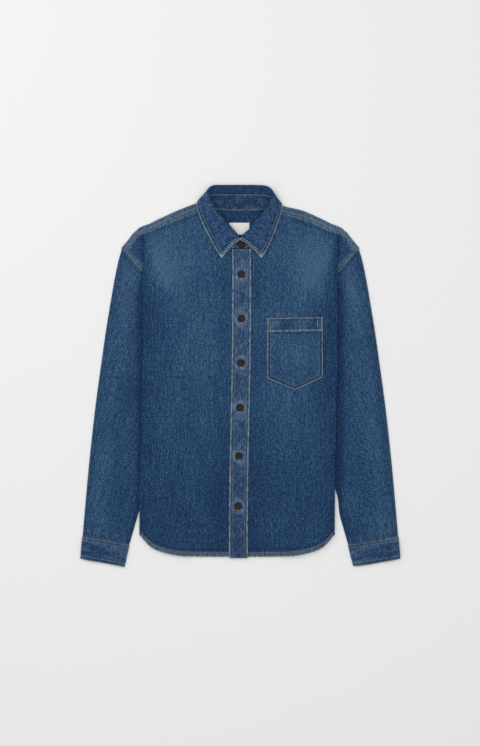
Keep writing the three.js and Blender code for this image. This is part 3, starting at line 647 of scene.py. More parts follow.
def front_nodes(inner_x, side):
    """The front panel from its inner edge to the armhole, with its part turned under."""
    inner = spread(inner_x, 160, FINE)
    rows = rows_between(FOLD_ROWS + [245, 102], FINE) + rows_between([99, -318], FINE)
    rows += rows_between([-318, HEM_SIDE_Y], 1.6)[1:]
    main = len(inner) + SLOPE_NODES
    made = []
    for row in rows:
        points = layer(body_row(row, front_curtain, inner), APART)
        line = []
        for n, x, y, z, across in with_way(points, points[0][0]):
            wear = fade = shade = 0.0
            if n < main:
                z += front_loft(x, y) + max(-0.05, front_creases(x * side, y))
                hem = y - curved(HEM, "x", "y", x) if row < HEM_START_Y else 99.0
                seam = (along(NECK_AND_YOKE_SEAM, "x", "y", x) - y) * 0.92 if x > NECK_X else 99.0
                if hem < 40:
                    z += 0.6 * smooth((HEM_BAND + 1 - hem) / 2) + max(-0.2, pucker(x, hem, 6, 20, 0.5))
                    wear += 0.55 * bump_at(hem, 0.2, 1.3) + 0.34 * smooth((HEM_BAND - hem) / 2)
                    wear += 0.2 * bump_at(hem, HEM_BAND, 1.4)
                    # Painted shade on the hem band and a painted shadow line just above it.
                    shade += 0.5 * smooth((HEM_BAND - hem) / 2) + 0.5 * bump_at(hem, HEM_BAND + 4, 4)
                if seam < 34:
                    z += max(-0.1, pucker(x, seam, 2, 16, 0.35))
                    wear += 0.2 * bump_at(seam, 1, 2)
                    # Painted shadow line just below the yoke seam.
                    shade += 0.85 * bump_at(seam, 3.5, 4)
                fade += body_fade(x, y)
                shade += body_shade(x, y)
            else:
                armhole = -past_armhole(x, y)
                lowest = n > main + UNDER_NODES and row > UNDERARM[1]
                # Painted shade: 1.0 round the bend and on the part turned under; on the layer that comes out
                # beneath to the armhole, 0.35, darker near the body's edge, which lies over it.
                shade, fade = 0.35 + 0.6 * smooth((218 - x) / 14) if lowest else 1.0, 0.1
                if lowest and armhole < ARMHOLE_BAND + 4:
                    z += 0.5 * smooth((ARMHOLE_BAND + 1 - armhole) / 1.5)
                    wear = 0.6 * bump_at(armhole, ARMHOLE_BAND - 0.8, 1.3) + 0.55 * bump_at(armhole, 1.0, 1.3)
                    wear += 0.3 * bump_at(armhole, ARMHOLE_BAND / 2, 4)
                    # Painted shade between the armhole's rows of stitching.
                    shade += 0.75 * bump_at(armhole, ARMHOLE_BAND / 2, 3.4)
            line.append(node(x, y, z, across, y, wear, fade, shade))
        made.append(line)
    return made


def back_lift(x, y):
    """Creases of the back: soft hollows beneath it, within the room that the front leaves."""
    return 0.7 * min(front_loft(abs(x), y), ridges(x, y, BACK_CREASES))


def back_nodes():
    inner = spread(0, 160, 8)
    rows = rows_between([244.7, 200, 102], 8) + rows_between([99, -318], 8)
    rows += rows_between([-318, HEM_SIDE_Y], 2.5)[1:]
    last_main = len(inner) + SLOPE_NODES
    halves = []
    for side in (-1, 1):
        half = []
        for row in rows:
            line = []
            for n, x, y, z, across in with_way(layer(body_row(row, back_curtain, inner), -APART)):
                main = n < last_main
                hem = y - curved(HEM, "x", "y", x) if row < HEM_START_Y and main else 99.0
                if main:
                    z += back_lift(x * side, y)
                wear = 0.8 * bump_at(hem, 0.4, 1.9) + 0.5 * bump_at(hem, HEM_BAND + 0.5, 1.9)
                wear += 0.5 * bump_at(row, 244.7, 2.0)
                armhole = -past_armhole(x, y)
                if n > last_main + UNDER_NODES and row > UNDERARM[1]:
                    wear += 0.8 * bump_at(armhole, ARMHOLE_BAND - 0.8, 1.6) + 0.7 * bump_at(armhole, 1.2, 1.6)
                fade = 0.6 * patch(x, y, 95, 120, 75, 150) if main else 0.1
                # Painted shade on the back's parts round the bend and beneath.
                shade = body_shade(x, y) if main else 0.6
                line.append(node(x, y, z, across, y, wear, fade, shade))
            half.append(line)
        halves.append(half)
    return joined(*halves)


def yoke_nodes():
    """The yoke from its seam on the fronts, over the shoulder fold and down to its seam on the back."""
    inner = sorted({*spread(0, 160, FINE), 58.0, 73.0, NECK_X})
    past_neck = len([c for c in inner if c < NECK_X - 0.01])

    def strip_look(up, x):
        """up is the way from the front seam, in millimetres."""
        wear = 0.55 * bump_at(up, 0.6, 1.2) + 0.42 * bump_at(up, 8.2, 1.2) + 0.24 * smooth((up + 1) / 2)
        wear += 0.22 * bump_at(up, 15.5, 2)
        wear *= 0.75 + 0.35 * smooth((x - 100) / 80)
        # Painted shadow lines between the seam's rows of stitching.
        return wear, 0.35 * smooth((x - 90) / 60), 0.75 * bump_at(up, 4.4, 2.4) + 0.6 * bump_at(up, 12, 3)

    rows = []
    for row in spread(YOKE_SIDE_Y + GAP, SHOULDER_SIDE_Y, 1.6):
        up = row - YOKE_SIDE_Y - GAP
        line = []
        for n, x, y, z, across in with_way(layer(body_row(row, yoke_curtain, inner), APART)):
            z += 0.35 * bump_at(up, 5, 3.2) + max(-0.05, 0.3 * pucker(x, up, 3, 9, 0.6, 9.0))
            line.append(None if n < past_neck else node(x, y, z, across, y, *strip_look(up * 17 / 15, x)))
        rows.append(line)
    top = body_row(SHOULDER_SIDE_Y, yoke_curtain, inner)
    for degrees in TURNS:
        turn = math.radians(degrees)
        line = []
        for n, x, y, z, across in with_way(top):
            before, after = top[max(0, n - 1)], top[min(len(top) - 1, n + 1)]
            out = Vector((before[1] - after[1], after[0] - before[0], 0)).normalized() * math.sin(turn)
            place = Vector((x, y, z)) + Vector((out.x, out.y, math.cos(turn))) * APART
            line.append(None if n < past_neck else node(*place, across, y + degrees / 60, 0.25, 0.3, 0.2))
        rows.append(line)
    behind = [*spread(SHOULDER_SIDE_Y, YOKE_SIDE_Y, 3), *FOLD_ROWS[1:], *spread(FOLDED_Y, BACK_SEAM_Y, 4)[1:]]
    for row in behind:
        wear = 0.8 * bump_at(row, BACK_SEAM_Y + 1, 2) + 0.5 * bump_at(row, BACK_SEAM_Y + 8, 2)
        # Painted shade on the yoke's back layer, darker towards the neck, where it shows inside.
        rows.append([
            node(x, y, z, across, 2 * 350 - y, wear, 0.2, 0.75 * smooth((95 - x) / 30) + 0.2)
            for _, x, y, z, across in with_way(layer(body_row(row, back_curtain, inner), -APART))
        ])
    return joined(rows, rows)


def between(a, b, share):
    return mix(a[0], b[0], share), mix(a[1], b[1], share)


def tube_row(inner, outer, v, thickness, loft, columns, look):
    """A ring of a flattened tube: over the top to its outer edge, round it and back beneath."""
    radius = GAP / 2 + thickness / 2
    middle = GAP / 2 + thickness
    width = math.hypot(outer[0] - inner[0], outer[1] - inner[1])
    way = ((outer[0] - inner[0]) / width, (outer[1] - inner[1]) / width)
    line = []

    def face(across, upper):
        for s in across:
            x, y = between(inner, outer, s)
            top, bottom = loft(x, y, s, v)
            z, u = (middle + radius + top, s) if upper else (middle - radius + bottom, 2 - s)
            line.append(node(x, y, z, u * width, y, *look(x, y, s, v, upper)))

    def edge(at, s, start, lifts, upper):
        for degrees in TURNS:
            turn = math.radians(start + degrees)
            out, up = math.sin(turn) * radius, math.cos(turn) * radius
            z = middle + up + mix(*lifts, degrees / 180)
            u = (1 + start / 180) * width + degrees / 60
            place = (at[0] + way[0] * out, at[1] + way[1] * out, z)
            line.append(node(*place, u, at[1], *look(*at, s, v, upper)))

    across = columns(inner, outer)
    face(across, True)
    edge(outer, 1, 0, loft(*outer, 1, v), True)
    face(reversed(across), False)
    edge(inner, 0, 180, (0.0, 0.0), False)
    return line


def past_armhole(x, y):
    return (x - armhole_x(y)) / ARMHOLE_SLANT


def armhole_clear(v):
    clear = (1 - v) ** 8 * GAP / ARMHOLE_SLANT
    return clear, -clear * ARMHOLE_SLOPE


def sleeve_inner(v):
    y = mix(UNDERARM[1], CUFF_SEAM[0][1], v)
    dx, dy = armhole_clear(v)
    return sleeve_in_x(y) + dx, y + dy


def sleeve_outer(v):
    y = mix(SHOULDER_POINT[1], CUFF_SEAM[1][1], v)
    dx, dy = armhole_clear(v)
    return curved(SLEEVE_OUTER, "y", "x", y) + dx, y + dy


def sleeve_columns(inner, outer):
    clear = min(0.86, max(0.06, (SLEEVE_CLEAR_X - 4 - inner[0]) / (outer[0] - inner[0])))
    return [*[clear * share for share in shares(6)[:-1]], *[mix(clear, 1, share) for share in shares(28)]]


def above_cuff(x, y):
    (start, start_y), (end, end_y) = CUFF_SEAM
    return y - mix(start_y, end_y, (x - start) / (end - start))


def gathers(x, side):
    """Wave of the sleeve where it is gathered into its cuff."""
    return math.sin((x - CUFF_SEAM[0][0]) / GATHER_PITCH * math.tau + 0.8 * side)


def sleeve_loft_at(side):
    def loft(x, y, s, v):
        outer_x = curved(SLEEVE_OUTER, "y", "x", y)
        inner_x = max(SLEEVE_CLEAR_X, sleeve_in_x(y))
        across = smooth((x - inner_x) / 26) * smooth((outer_x - x) / 24)
        near_edge = smooth((x - inner_x) / 10) * smooth((outer_x - x) / 7)
        off_cuff, off_armhole = above_cuff(x, y), past_armhole(x, y)
        length = smooth(off_cuff / 40) * smooth((off_armhole - 3) / 30)
        folds = ridges(x, y, SLEEVE_FOLDS) + ridges(x * side, y, SLEEVE_PULLS)
        top = across * length * (SLEEVE_LOFT + folds + 0.9 * rumple(x * side, y, 26.0))
        gathered = max(0.0, 1.5 * gathers(x, side) + 0.7)
        top += near_edge * gathered * smooth((off_cuff - 1) / 8) * smooth((44 - off_cuff) / 30)
        top += near_edge * max(0.0, pucker(x + y, off_armhole, 4, 20, 0.8, 16.0))
        return max(0.0, top), 0.0
    return loft


def sleeve_look_at(side):
    def look(x, y, s, v, upper):
        outer, off_cuff = curved(SLEEVE_OUTER, "y", "x", y) - x, above_cuff(x, y)
        fade = 0.4 * bump_at(outer, 30, 20) + 0.35 * patch(outer, y, 34, 170, 26, 70)
        # Painted shade: beside the armhole seam, where the body's edge lies over the sleeve, along its
        # rounded outer edge, beside the cuff seam and along its inner edge low down.
        shade = 0.7 * bump_at(past_armhole(x, y), 2.0, 4)
        shade += 1.3 * smooth((228 - x) / 20) * smooth((240 - y) / 60)
        shade += 0.3 * bump_at(outer, 0, 6) + 0.3 * bump_at(off_cuff, 2, 4) + 0.24
        shade += 0.9 * bump_at(x - sleeve_in_x(y), 0, 7) * smooth((-260 - y) / 40)
        wear = 0.14 * bump_at(outer, 0.5, 1.6) + 0.3 * bump_at(off_cuff, 0.5, 1.6)
        wear += 0.3 * max(0.0, gathers(x, side) - 0.35) * bump_at(off_cuff, 9, 8)
        return wear, fade, shade
    return look


def build_sleeve(side_name, side):
    loft, look = sleeve_loft_at(side), sleeve_look_at(side)
    rows = [tube_row(sleeve_inner(v), sleeve_outer(v), v, CLOTH, loft, sleeve_columns, look)
            for v in shares(118)]
    rows = on_side(rows, side, False)
    build_cloth("sleeve_" + side_name, rows, CLOTH, "denim", True)


def cuff_inner(v):
    return between((CUFF_SEAM[0][0], CUFF_SEAM[0][1] - GAP), CUFF_END[0], v)


def cuff_outer(v):
    return between((CUFF_SEAM[1][0], CUFF_SEAM[1][1] - GAP), CUFF_END[1], v)


def cuff_creases(x, y):
    return uneven(x + 0.2 * y, y - 0.2 * x, 30, 5.5, 6.6)


def off_cuff_button(x, y):
    return math.hypot(x - CUFF_BUTTON[0], y - CUFF_BUTTON[1])


def cuff_loft(x, y, s, v):
    rise = CUFF_RISE * smooth((32 - off_cuff_button(x, y)) / 14)
    inside = smooth(s / 0.08) * smooth((1 - s) / 0.08) * smooth(v / 0.2) * smooth((1 - v) / 0.2)
    return rise + inside * (0.5 + 0.9 * cuff_creases(x, y)), rise


def cuff_look(x, y, s, v, upper):
    down, sides = v * CUFF_LENGTH, min(s, 1 - s) * CUFF_WIDTH
    creases = cuff_creases(x, y)
    wear = 0.5 * bump_at(down, 46.5, 1.4) + 0.26 * bump_at(down, 40.0, 1.2) + 0.5 * bump_at(down, 0.6, 1.2)
    wear += 0.38 * bump_at(down, 6.5, 1.2) + 0.12 * bump_at(sides, 0, 2) + 0.03
    wear += 0.24 * max(0.0, creases)
    # Painted shadow under the cuff button, on the upper face.
    button_shadow = 1.5 * bump_at(off_cuff_button(x, y), 0, 6) if upper else 0
    # Painted shadow lines between the cuff's edges and their stitching, and painted shade in the hollows of
    # its creases.
    shade = 0.25 + 0.8 * bump_at(down, 43.2, 1.8) + 0.7 * bump_at(down, 3.4, 2) + button_shadow
    return wear, 0.25 * bump_at(down, 24, 14), shade + 1.4 * max(0.0, -creases)


def build_cuff(side_name, side):
    def columns(inner, outer):
        return shares(32)
    rows = [tube_row(cuff_inner(v), cuff_outer(v), v, DOUBLED, cuff_loft, columns, cuff_look)
            for v in shares(36)]
    rows = on_side(rows, side, False)
    build_cloth("cuff_" + side_name, rows, DOUBLED, "denim_trim", True)


# What lies on the front
def over_front(tree, x, y, thickness, reach):
    skin = FLOOR_LEVEL + GAP / 2 + CLOTH
    return max(skin, highest_near(tree, x, y, reach)) + GAP + thickness / 2


EDGE_STEPS = (0, 0.8, 1.6, 2.4, 3.4, 4.4, 5.4, 6.6, 8.0, 9.5, 11.5)
PLACKET_STEPS = EDGE_STEPS[:10]
BAND_STEPS = EDGE_STEPS[:9]
WORN_FOLD_Y = -90.0


def closer_at_ends(width, steps, apart, both=True):
    """Shares of a width, close together at its ends, where seams lie, and `apart` in the middle."""
    first = steps[-1] if both else 0.0
    inside = width - first - steps[-1]
    middle = [first + inside * share for share in shares(max(1, round(inside / apart)))]
    far = [width - step for step in reversed(steps[:-1])]
    return [at / width for at in ([*steps[:-1], *middle, *far] if both else [*middle, *far])]


def placket_nodes(tree):
    rows = []
    half = (BAND_RIGHT - BAND_LEFT) / 2
    for y in spread(BAND_TOP, BAND_BOTTOM, 3.2):
        line = []
        end = min(BAND_TOP - y, y - BAND_BOTTOM)
        for u in closer_at_ends(BAND_RIGHT - BAND_LEFT, PLACKET_STEPS, 2.6):
            x = mix(BAND_LEFT, BAND_RIGHT, u) + drift(y)
            edge = half * (1 - abs(2 * u - 1))
            around = min(math.hypot(x - BUTTON_X - drift(y), (y - at) * 0.9) for at in BUTTON_YS)
            lift = 0.45 * smooth(edge / 2) * (1 - 0.8 * bump_at(edge, 5.5, 1.6))
            lift += 0.5 * smooth((edge - 6) / 5) * (0.5 + 0.5 * uneven(x, y, 11, 15, 8.8))
            lift += 0.25 * math.sin(y / 5.1 + 2 * math.sin(y / 37)) * bump_at(edge, 3, 3)
            z = over_front(tree, x, y, DOUBLED, 0) + max(0.0, lift) * smooth(end / 3)
            blotch = 0.7 * uneven(x, y, 6, 8, 4.4) + 0.5 * uneven(x, y, 3, 4, 1.4)
            wear = 0.85 * smooth((3.4 - edge) / 1.4) + 0.12 * bump_at(edge, 6.6, 1.2) + 0.05
            wear += 0.28 * max(0, blotch)
            wear += 0.34 * bump_at(around, 12.5, 2.2) * (0.5 + 0.5 * abs(math.sin(3 * x + y)))
            wear += 0.14 * bump_at(around, 10, 4) + 0.4 * bump_at(end, 0.5, 1.6)
            wear += 0.3 * bump_at(y, WORN_FOLD_Y, 2.4) * smooth((edge - 3) / 3)
            # Painted shade between the rows of edge stitching; darker away from the buttons and towards the
            # bottom, and in random blotches.
            shade = 0.95 * bump_at(edge, 4.8, 1.5) + 0.3 * smooth((around - 20) / 16)
            shade += 0.35 * smooth(-y / 380) + 1.3 * max(0, -blotch)
            fade = 0.45 * bump_at(around, 0, 24) + 0.2 * smooth(y / 200)
            line.append(node(x, y, z, x - drift(y) + 500, y, wear, fade, shade))
        rows.append(line)
    return rows


def pocket_end(u):
    return mix(POCKET["side"], POCKET["point"], 1 - abs(2 * u - 1))


def pocket_point(u, v):
    x = mix(POCKET["left"], POCKET["right"], u)
    return x, mix(POCKET["hem_bottom"] - GAP, pocket_end(u), v) + u * POCKET_TILT


def pocket_band_point(u, v):
    x = mix(POCKET["left"], POCKET["right"], u)
    return x, mix(POCKET["hem_top"], POCKET["hem_bottom"], v) + u * POCKET_TILT


def pocket_nodes(tree, point, downs, thickness, look):
    rows = []
    width = POCKET["right"] - POCKET["left"]
    for v in downs:
        line = []
        for u in closer_at_ends(width, EDGE_STEPS, 3.2):
            x, y = point(u, v)
            lift, wear, fade, shade = look(x, y, u, v)
            z = over_front(tree, x, y, thickness, 2.5) + max(0.0, lift)
            line.append(node(x, y, z, x + 900, y, wear, fade, shade))
        rows.append(line)
    return rows


def pocket_look(x, y, u, v):
    side = min(x - POCKET["left"], POCKET["right"] - x)
    edge = min(side, (y - pocket_end(u) - u * POCKET_TILT) * 0.93)
    lift = 0.5 * smooth((7.5 - edge) / 1.5) * smooth(edge / 1.5)
    lift += 0.9 * smooth((edge - 10) / 30) * smooth((POCKET["hem_bottom"] - y) / 20)
    lift += max(-0.2, pucker(x + y, edge - 6, 1, 14, 0.45, 11.0))
    dashes = max(0.0, math.sin((x + y) / 10.5 * math.tau / 1.1))
    patches = max(0.0, 0.4 + uneven(x, y, 7, 7, 3.1))
    wear = 0.8 * smooth((2.2 - edge) / 1.0) + 0.4 * dashes * patches * bump_at(edge, 8.0, 2.6) + 0.02
    # Painted shade between the pocket's rows of stitching, darker towards its point, and a painted shadow
    # line under the hem band.
    shade = 0.95 * bump_at(edge, 4.2, 2.2) * (1.3 - 0.5 * dashes) + 0.2 * smooth((60 - y) / 60)
    shade += 1.2 * bump_at(y, POCKET["hem_bottom"], 2.2)
    return lift, wear, 0.42 * patch(x, y, 115, 50, 46, 42), shade


def pocket_band_look(x, y, u, v):
    down = v * (POCKET["hem_top"] - POCKET["hem_bottom"])
    side = min(x - POCKET["left"], POCKET["right"] - x)
    lift = 0.3 + 0.35 * math.sin(x / 9.5 + 0.5 * math.sin(y / 4)) * smooth(side / 10) * smooth((down - 1) / 8)
    fold = math.sin((x + 0.5 * down) / 9.5)
    dashes = max(0.0, math.sin(x * math.tau / 4.2))
    wear = 0.85 * smooth((2.4 - down) / 1.0) + 0.7 * smooth((2.0 - side) / 1.0) + 0.04
    wear += (0.35 + 0.5 * dashes) * smooth((down - 24.6) / 1.2)
    wear += 0.16 * max(0.0, fold) * smooth((down - 2) / 6)
    # Painted shade in the hollows of the band's folds and beside its rows of stitching.
    shade = 0.8 * max(0.0, -fold) + 0.6 * bump_at(down, 4.2, 2) + 0.5 * bump_at(down, 22.6, 1.8) + 0.2
    return lift, wear, 0.2, shade


# Collar
def collar_read(name, at):
    values = COLLAR[name]
    last = len(values) - 1
    at = min(max(at, 0.0), float(last))
    first = min(last - 1, int(at))
    t = at - first
    p, q, r, s = (values[min(max(first + k, 0), last)] for k in (-1, 0, 1, 2))
    if first == 0:
        p = -r if name in ("foot_x", "fold_x", "edge_x") else r
    return 0.5 * (2 * q + (r - p) * t + (2 * p - 5 * q + 4 * r - s) * t**2 + (3 * q - p - 3 * r + s) * t**3)


def collar_section(at):
    lean, bearing = math.radians(collar_read("lean", at)), math.radians(collar_read("bearing", at))
    level = math.sin(lean)
    outside = Vector((level * math.cos(bearing), level * math.sin(bearing), -math.cos(lean)))
    foot, fold, edge = (
        Vector([collar_read(part + "_" + axis, at) for axis in "xyz"]) for part in ("foot", "fold", "edge")
    )
    seam = foot.lerp(fold, STAND_SHARE)
    seam.z = collar_read("seam_z", at)
    return foot, seam, fold, edge, outside


COLLAR_STEPS = 6
COLLAR_LAST = len(COLLAR["lean"]) - 1
STATIONS = [n / COLLAR_STEPS for n in range(COLLAR_STEPS * COLLAR_LAST + 1)]


def stand_half(side, lapped):
    rows = []
    for at in STATIONS:
        foot, seam, _, _, _ = collar_section(at)
        rows.append([foot.lerp(seam, share) for share in shares(16)])
    last = rows[-1]
    end = [Vector((BAND_LEFT, point.y - 1.5, point.z)) for point in last]
    rows += [[a.lerp(b, n / 6) for a, b in zip(last, end)] for n in range(1, 7)]
    total = len(rows) - 1
    made = []
    for index, row in enumerate(rows):
        near = smooth((index - total + 6 * 2.3 + 4) / 12)
        rise = near * (STAND_LAP_RISE / 2 if lapped else -STAND_LAP_RISE / 2)
        made.append([Vector((point.x * side, point.y, point.z + rise)) for point in row])
    return made


FOLD_POINTS = 4 + len(TURNS)
FRONT_FINE = 4 / COLLAR_STEPS
LEAF_FROM = 2.5
LEAF_EDGE_POINTS = 18
FALL_STATIONS = [at for at in STATIONS if at < COLLAR_LAST - FRONT_FINE - 0.01]
FALL_STATIONS += [COLLAR_LAST - FRONT_FINE * (1 - share) for share in shares(18)]


def even_count(length, steps, count):
    """Shares of a length in a fixed number of steps, close together at its far end."""
    first = [share * (length - steps[-1]) for share in shares(count)]
    return [at / length for at in (*first, *[length - step for step in reversed(steps[:-1])])]


def leaf_lies(point, side):
    """Where a point of a collar leaf comes to lie: the two leaves aren't quite alike."""
    x, y = point.x, point.y
    corner = patch(x, y, 6, 297, 13, 13)
    dx, dy = -4.5 * corner, -5.0 * corner
    if side > 0:
        dx += 5.0 * smooth((332 - y) / 75) * smooth((x - 12) / 14)
        dx += 4.5 * bump_at(y, 305, 11) * smooth((x - 9) / 8) * smooth((52 - x) / 20)
        dx -= 4.5 * bump_at(y, 352, 24) * smooth((x - 62) / 14)
    return Vector((x + dx, y + dy, point.z))


def fall_points(at, side=1):
    """Points of the fall across its section: inside, over the fold and down to its free edge."""
    foot, seam, fold, edge, outside = collar_section(at)
    near_front = smooth((at / COLLAR_LAST - 0.45) / 0.4)
    inner = seam.lerp(fold, mix(0.14, 0.72, near_front))
    up = (fold - (foot if near_front > 0.5 else seam)).normalized()
    out = (outside - up * outside.dot(up)).normalized()
    points = [inner.lerp(fold, n / 3) for n in range(3)] + [fold.copy()]
    for degrees in TURNS:
        turn = math.radians(degrees)
        crown = fold + out * (FOLD_SPREAD / 2 * (1 - math.cos(turn)))
        points.append(crown + up * (FOLD_SPREAD / 2 * math.sin(turn)))
    outer = fold + out * FOLD_SPREAD
    length = (edge - outer).length
    points += [outer.lerp(edge, share) for share in even_count(length, EDGE_STEPS, 40)]
    return [leaf_lies(point, side) for point in points]


def fall_grid():
    left, right = (
        [[Vector((p.x * side, p.y, p.z)) for p in fall_points(at, side)] for at in FALL_STATIONS]
        for side in (-1, 1)
    )
    return [*reversed(left[1:]), *right]


def lengthwise(grid, column):
    """Way along a column of a grid from its first row, in millimetres."""
    total, made = 0.0, [0.0]
    for a, b in zip(grid, grid[1:]):
        total += (b[column] - a[column]).length
        made.append(total)
    return made


def fall_nodes():
    grid = fall_grid()
    way = lengthwise(grid, len(grid[0]) - 1)
    total = len(grid) - 1
    rows = []
    for i, row in enumerate(grid):
        line, across = [], 0.0
        front_end = min(i, total - i)
        for j, point in enumerate(row):
            if j:
                across += (point - row[j - 1]).length
            outside = j >= FOLD_POINTS
            from_edge = (row[-1] - point).length if outside else 99.0
            end = (grid[0 if i < total / 2 else -1][j] - point).length if front_end < 30 else 99.0
            nearest = min(from_edge, end if outside else 99.0)
            place = point.copy()
            if j > FOLD_POINTS:
                swell = 0.5 * bump_at(nearest, 3.6, 2.6) - 0.2 * bump_at(nearest, 7.5, 1.5)
                patches = 0.5 + 0.5 * uneven(point.x, point.y, 16, 16, 5.5)
                swell += 0.55 * smooth((nearest - 10) / 14) * patches
                place.z += max(-0.1, swell) * smooth(nearest / 1.5)
            wear = 0.8 * smooth((3.6 - from_edge) / 1.6) + 0.36 * bump_at(from_edge, 7.6, 1.0)
            dash = smooth(0.5 + 1.6 * math.sin((from_edge + 0.6 * end) / 5.4 * math.tau))
            wear += 1.25 * dash * smooth((7.4 - end) / 1.6) + 0.5 * smooth((1.4 - end) / 0.8)
            wear += 1.1 * bump_at(math.hypot(from_edge, end), 2, 6)
            # Painted shade between the rows of edge stitching; darker between the worn dashes at the front
            # end.
            shade = 0.9 * bump_at(from_edge, 5.3, 1.4) + 0.9 * smooth((9 - end) / 3) * (1 - dash) + 0.3
            shade += 0.3 * bump_at(nearest, 11, 4)
            # Painted shade on the inside of the fall, which faces into the neck.
            if not outside:
                shade, wear = 1.25, 0.04
            fade = 0.4 * bump_at(nearest, 24, 12)
            line.append(node(*place, way[i] * 0.9, across, wear, fade, shade))
        rows.append(line)
    return rows


def stand_nodes():
    left, right = stand_half(-1, False), stand_half(1, True)
    grid = [*reversed(left[1:]), *right]
    rows = []
    for i, row in enumerate(grid):
        height = (row[-1] - row[0]).length
        at_end = 0.5 * bump_at(min(i, len(grid) - 1 - i) * 3.0, 0, 3)
        line = []
        for point in row:
            up = (point - row[0]).length
            blotch = uneven(point.x, point.y, 7, 7, 2.2)
            wear = 0.4 * bump_at(up, 2.0, 1.6) + 0.5 * bump_at(height - up, 0.5, 1.6) + 0.03 + at_end
            wear += 0.2 * max(0, blotch)
            # Painted shade inside the neck, with random darker blotches.
            line.append(node(*point, i * 4.0, up + 300, wear, 0.1, 1.25 - 0.8 * blotch))
        rows.append(line)
    return rows


LABEL_LEFT, LABEL_RIGHT, LABEL_TOP, LABEL_BOTTOM = -24, 19, 324, 299
LABEL_CORNER = 5.5
LABEL_THICKNESS = 1.0


def label_nodes():
    """A blank woven label: a grid with its lower corners cut off."""
    z = CLOTH + GAP + LABEL_THICKNESS / 2
    rows = []
    for y in spread(LABEL_TOP, LABEL_BOTTOM, 2.5):
        inset = max(0.0, LABEL_BOTTOM + LABEL_CORNER - y)
        xs = [mix(LABEL_LEFT + inset, LABEL_RIGHT - inset, share) for share in shares(18)]
        rows.append([node(x, y, z + 0.12 * math.sin(n / 3), x, y) for n, x in enumerate(xs)])
    return rows


# Buttons
BUTTON_PROFILE = [
    (0.0, 0.0), (6.6, 0.0), (7.4, 0.35), (7.8, 1.1), (7.75, 1.7), (7.3, 2.5), (6.5, 2.9), (5.9, 2.75),
    (5.4, 2.2), (4.9, 1.75), (3.0, 1.6), (0.0, 1.6),
]
HOLE_AT = 1.45
HOLE_RADIUS = 0.62
HOLE_DEPTH = 8.0
HOLE_MIDDLE = 1.2
THREAD_ON_BUTTON = 1.75


def make_button(name, x, y, z):
    """A horn button: its profile is spun round, and four holes are cut through it."""
    clear_selection()
    bpy.ops.mesh.primitive_plane_add(size=0.001)
    piece = bpy.context.object
    piece.name = piece.data.name = name + "_horn"
    mesh = piece.data
    mesh.clear_geometry()
    mesh.vertices.add(len(BUTTON_PROFILE))
    mesh.edges.add(len(BUTTON_PROFILE) - 1)
    mesh.vertices.foreach_set("co", [c for r, h in BUTTON_PROFILE for c in (r * MM, 0.0, h * MM)])
    mesh.edges.foreach_set("vertices", [c for n in range(len(BUTTON_PROFILE) - 1) for c in (n, n + 1)])
    take(piece)
    bpy.ops.object.mode_set(mode="EDIT")
    bpy.ops.mesh.select_all(action="SELECT")
    bpy.ops.mesh.spin(steps=48, angle=math.tau, center=(0, 0, 0), axis=(0, 0, 1))
    merge_all()
    for dx in (-HOLE_AT, HOLE_AT):
        for dy in (-HOLE_AT, HOLE_AT):
            clear_selection()
            bpy.ops.mesh.primitive_cylinder_add(
                vertices=16, radius=HOLE_RADIUS * MM, depth=HOLE_DEPTH * MM,
                location=(dx * MM, dy * MM, HOLE_MIDDLE * MM),
            )
            cutter = bpy.context.object
            apply_modifier(piece, "BOOLEAN", object=cutter, operation="DIFFERENCE", solver="EXACT")
            bpy.data.meshes.remove(cutter.data)
    take(piece)
    bpy.ops.object.shade_smooth_by_angle(angle=math.radians(40))
    piece.data.transform(Matrix.Translation((x * MM, y * MM, z * MM)))
    finish_piece(piece, FINISHES["button"](), "button", name)


def lay_cross(x, y, z):
    """Thread through a button's holes: two crossing pairs of stitches."""
    for side in (-1, 1):
        for lift in (0.0, 0.25):
            a = (x - side * HOLE_AT, y - HOLE_AT, z + lift)
            b = (x + side * HOLE_AT, y + HOLE_AT, z + lift)
            STITCHES["dark"].append((a, b))


# Stitches
STITCHES = {"seam": [], "gold": [], "tan": [], "dark": []}
STITCH_RISE = 0.18
TACK_RISE = 0.3
TACK_PITCH = 0.75
TACK_THREAD = 0.75
BUTTON_THREAD = 0.8


def resampled(points, pitch):
    """Even steps along a line of points."""
    points = [Vector(p) for p in points]
    lengths = [(b - a).length for a, b in zip(points, points[1:])]
    total = sum(lengths)
    made, segment, passed = [], 0, 0.0
    for step in shares(max(1, round(total / pitch))):
        at = total * step
        while segment < len(lengths) - 1 and passed + lengths[segment] < at:
            passed += lengths[segment]
            segment += 1
        share = (at - passed) / lengths[segment] if lengths[segment] else 0
        made.append(points[segment].lerp(points[segment + 1], min(1.0, share)))
    return made


def sew(tree, points, settings, kind="seam"):
    """Lays stitches along a line of (x, y) on whatever the ray target has there."""
    pitch, long = settings.stitch_pitch / MM, settings.stitch_length / MM
    line = resampled([(*settle(x, y), 0) for x, y in points], pitch)
    for a, b in zip(line, line[1:]):
        middle, way = (a + b) / 2, (b - a).normalized() * long / 2
        start, end = middle - way, middle + way
        z1, z2 = height_at(tree, start.x, start.y, -1), height_at(tree, end.x, end.y, -1)
        if min(z1, z2) > 0 and abs(z1 - z2) < 1.2:
            STITCHES[kind].append(((start.x, start.y, z1 + STITCH_RISE), (end.x, end.y, z2 + STITCH_RISE)))


def bar_tack(tree, x, y, length, width=1.6):
    """A dense zigzag of thread, `length` long down the cloth."""
    line = []
    for n, share in enumerate(shares(round(length / TACK_PITCH))):
        place = Vector((x + (width / 2 if n % 2 else -width / 2), y + (share - 0.5) * length, 0))
        line.append((place.x, place.y, height_at(tree, place.x, place.y) + TACK_RISE))
    STITCHES["tan"] += zip(line, line[1:])


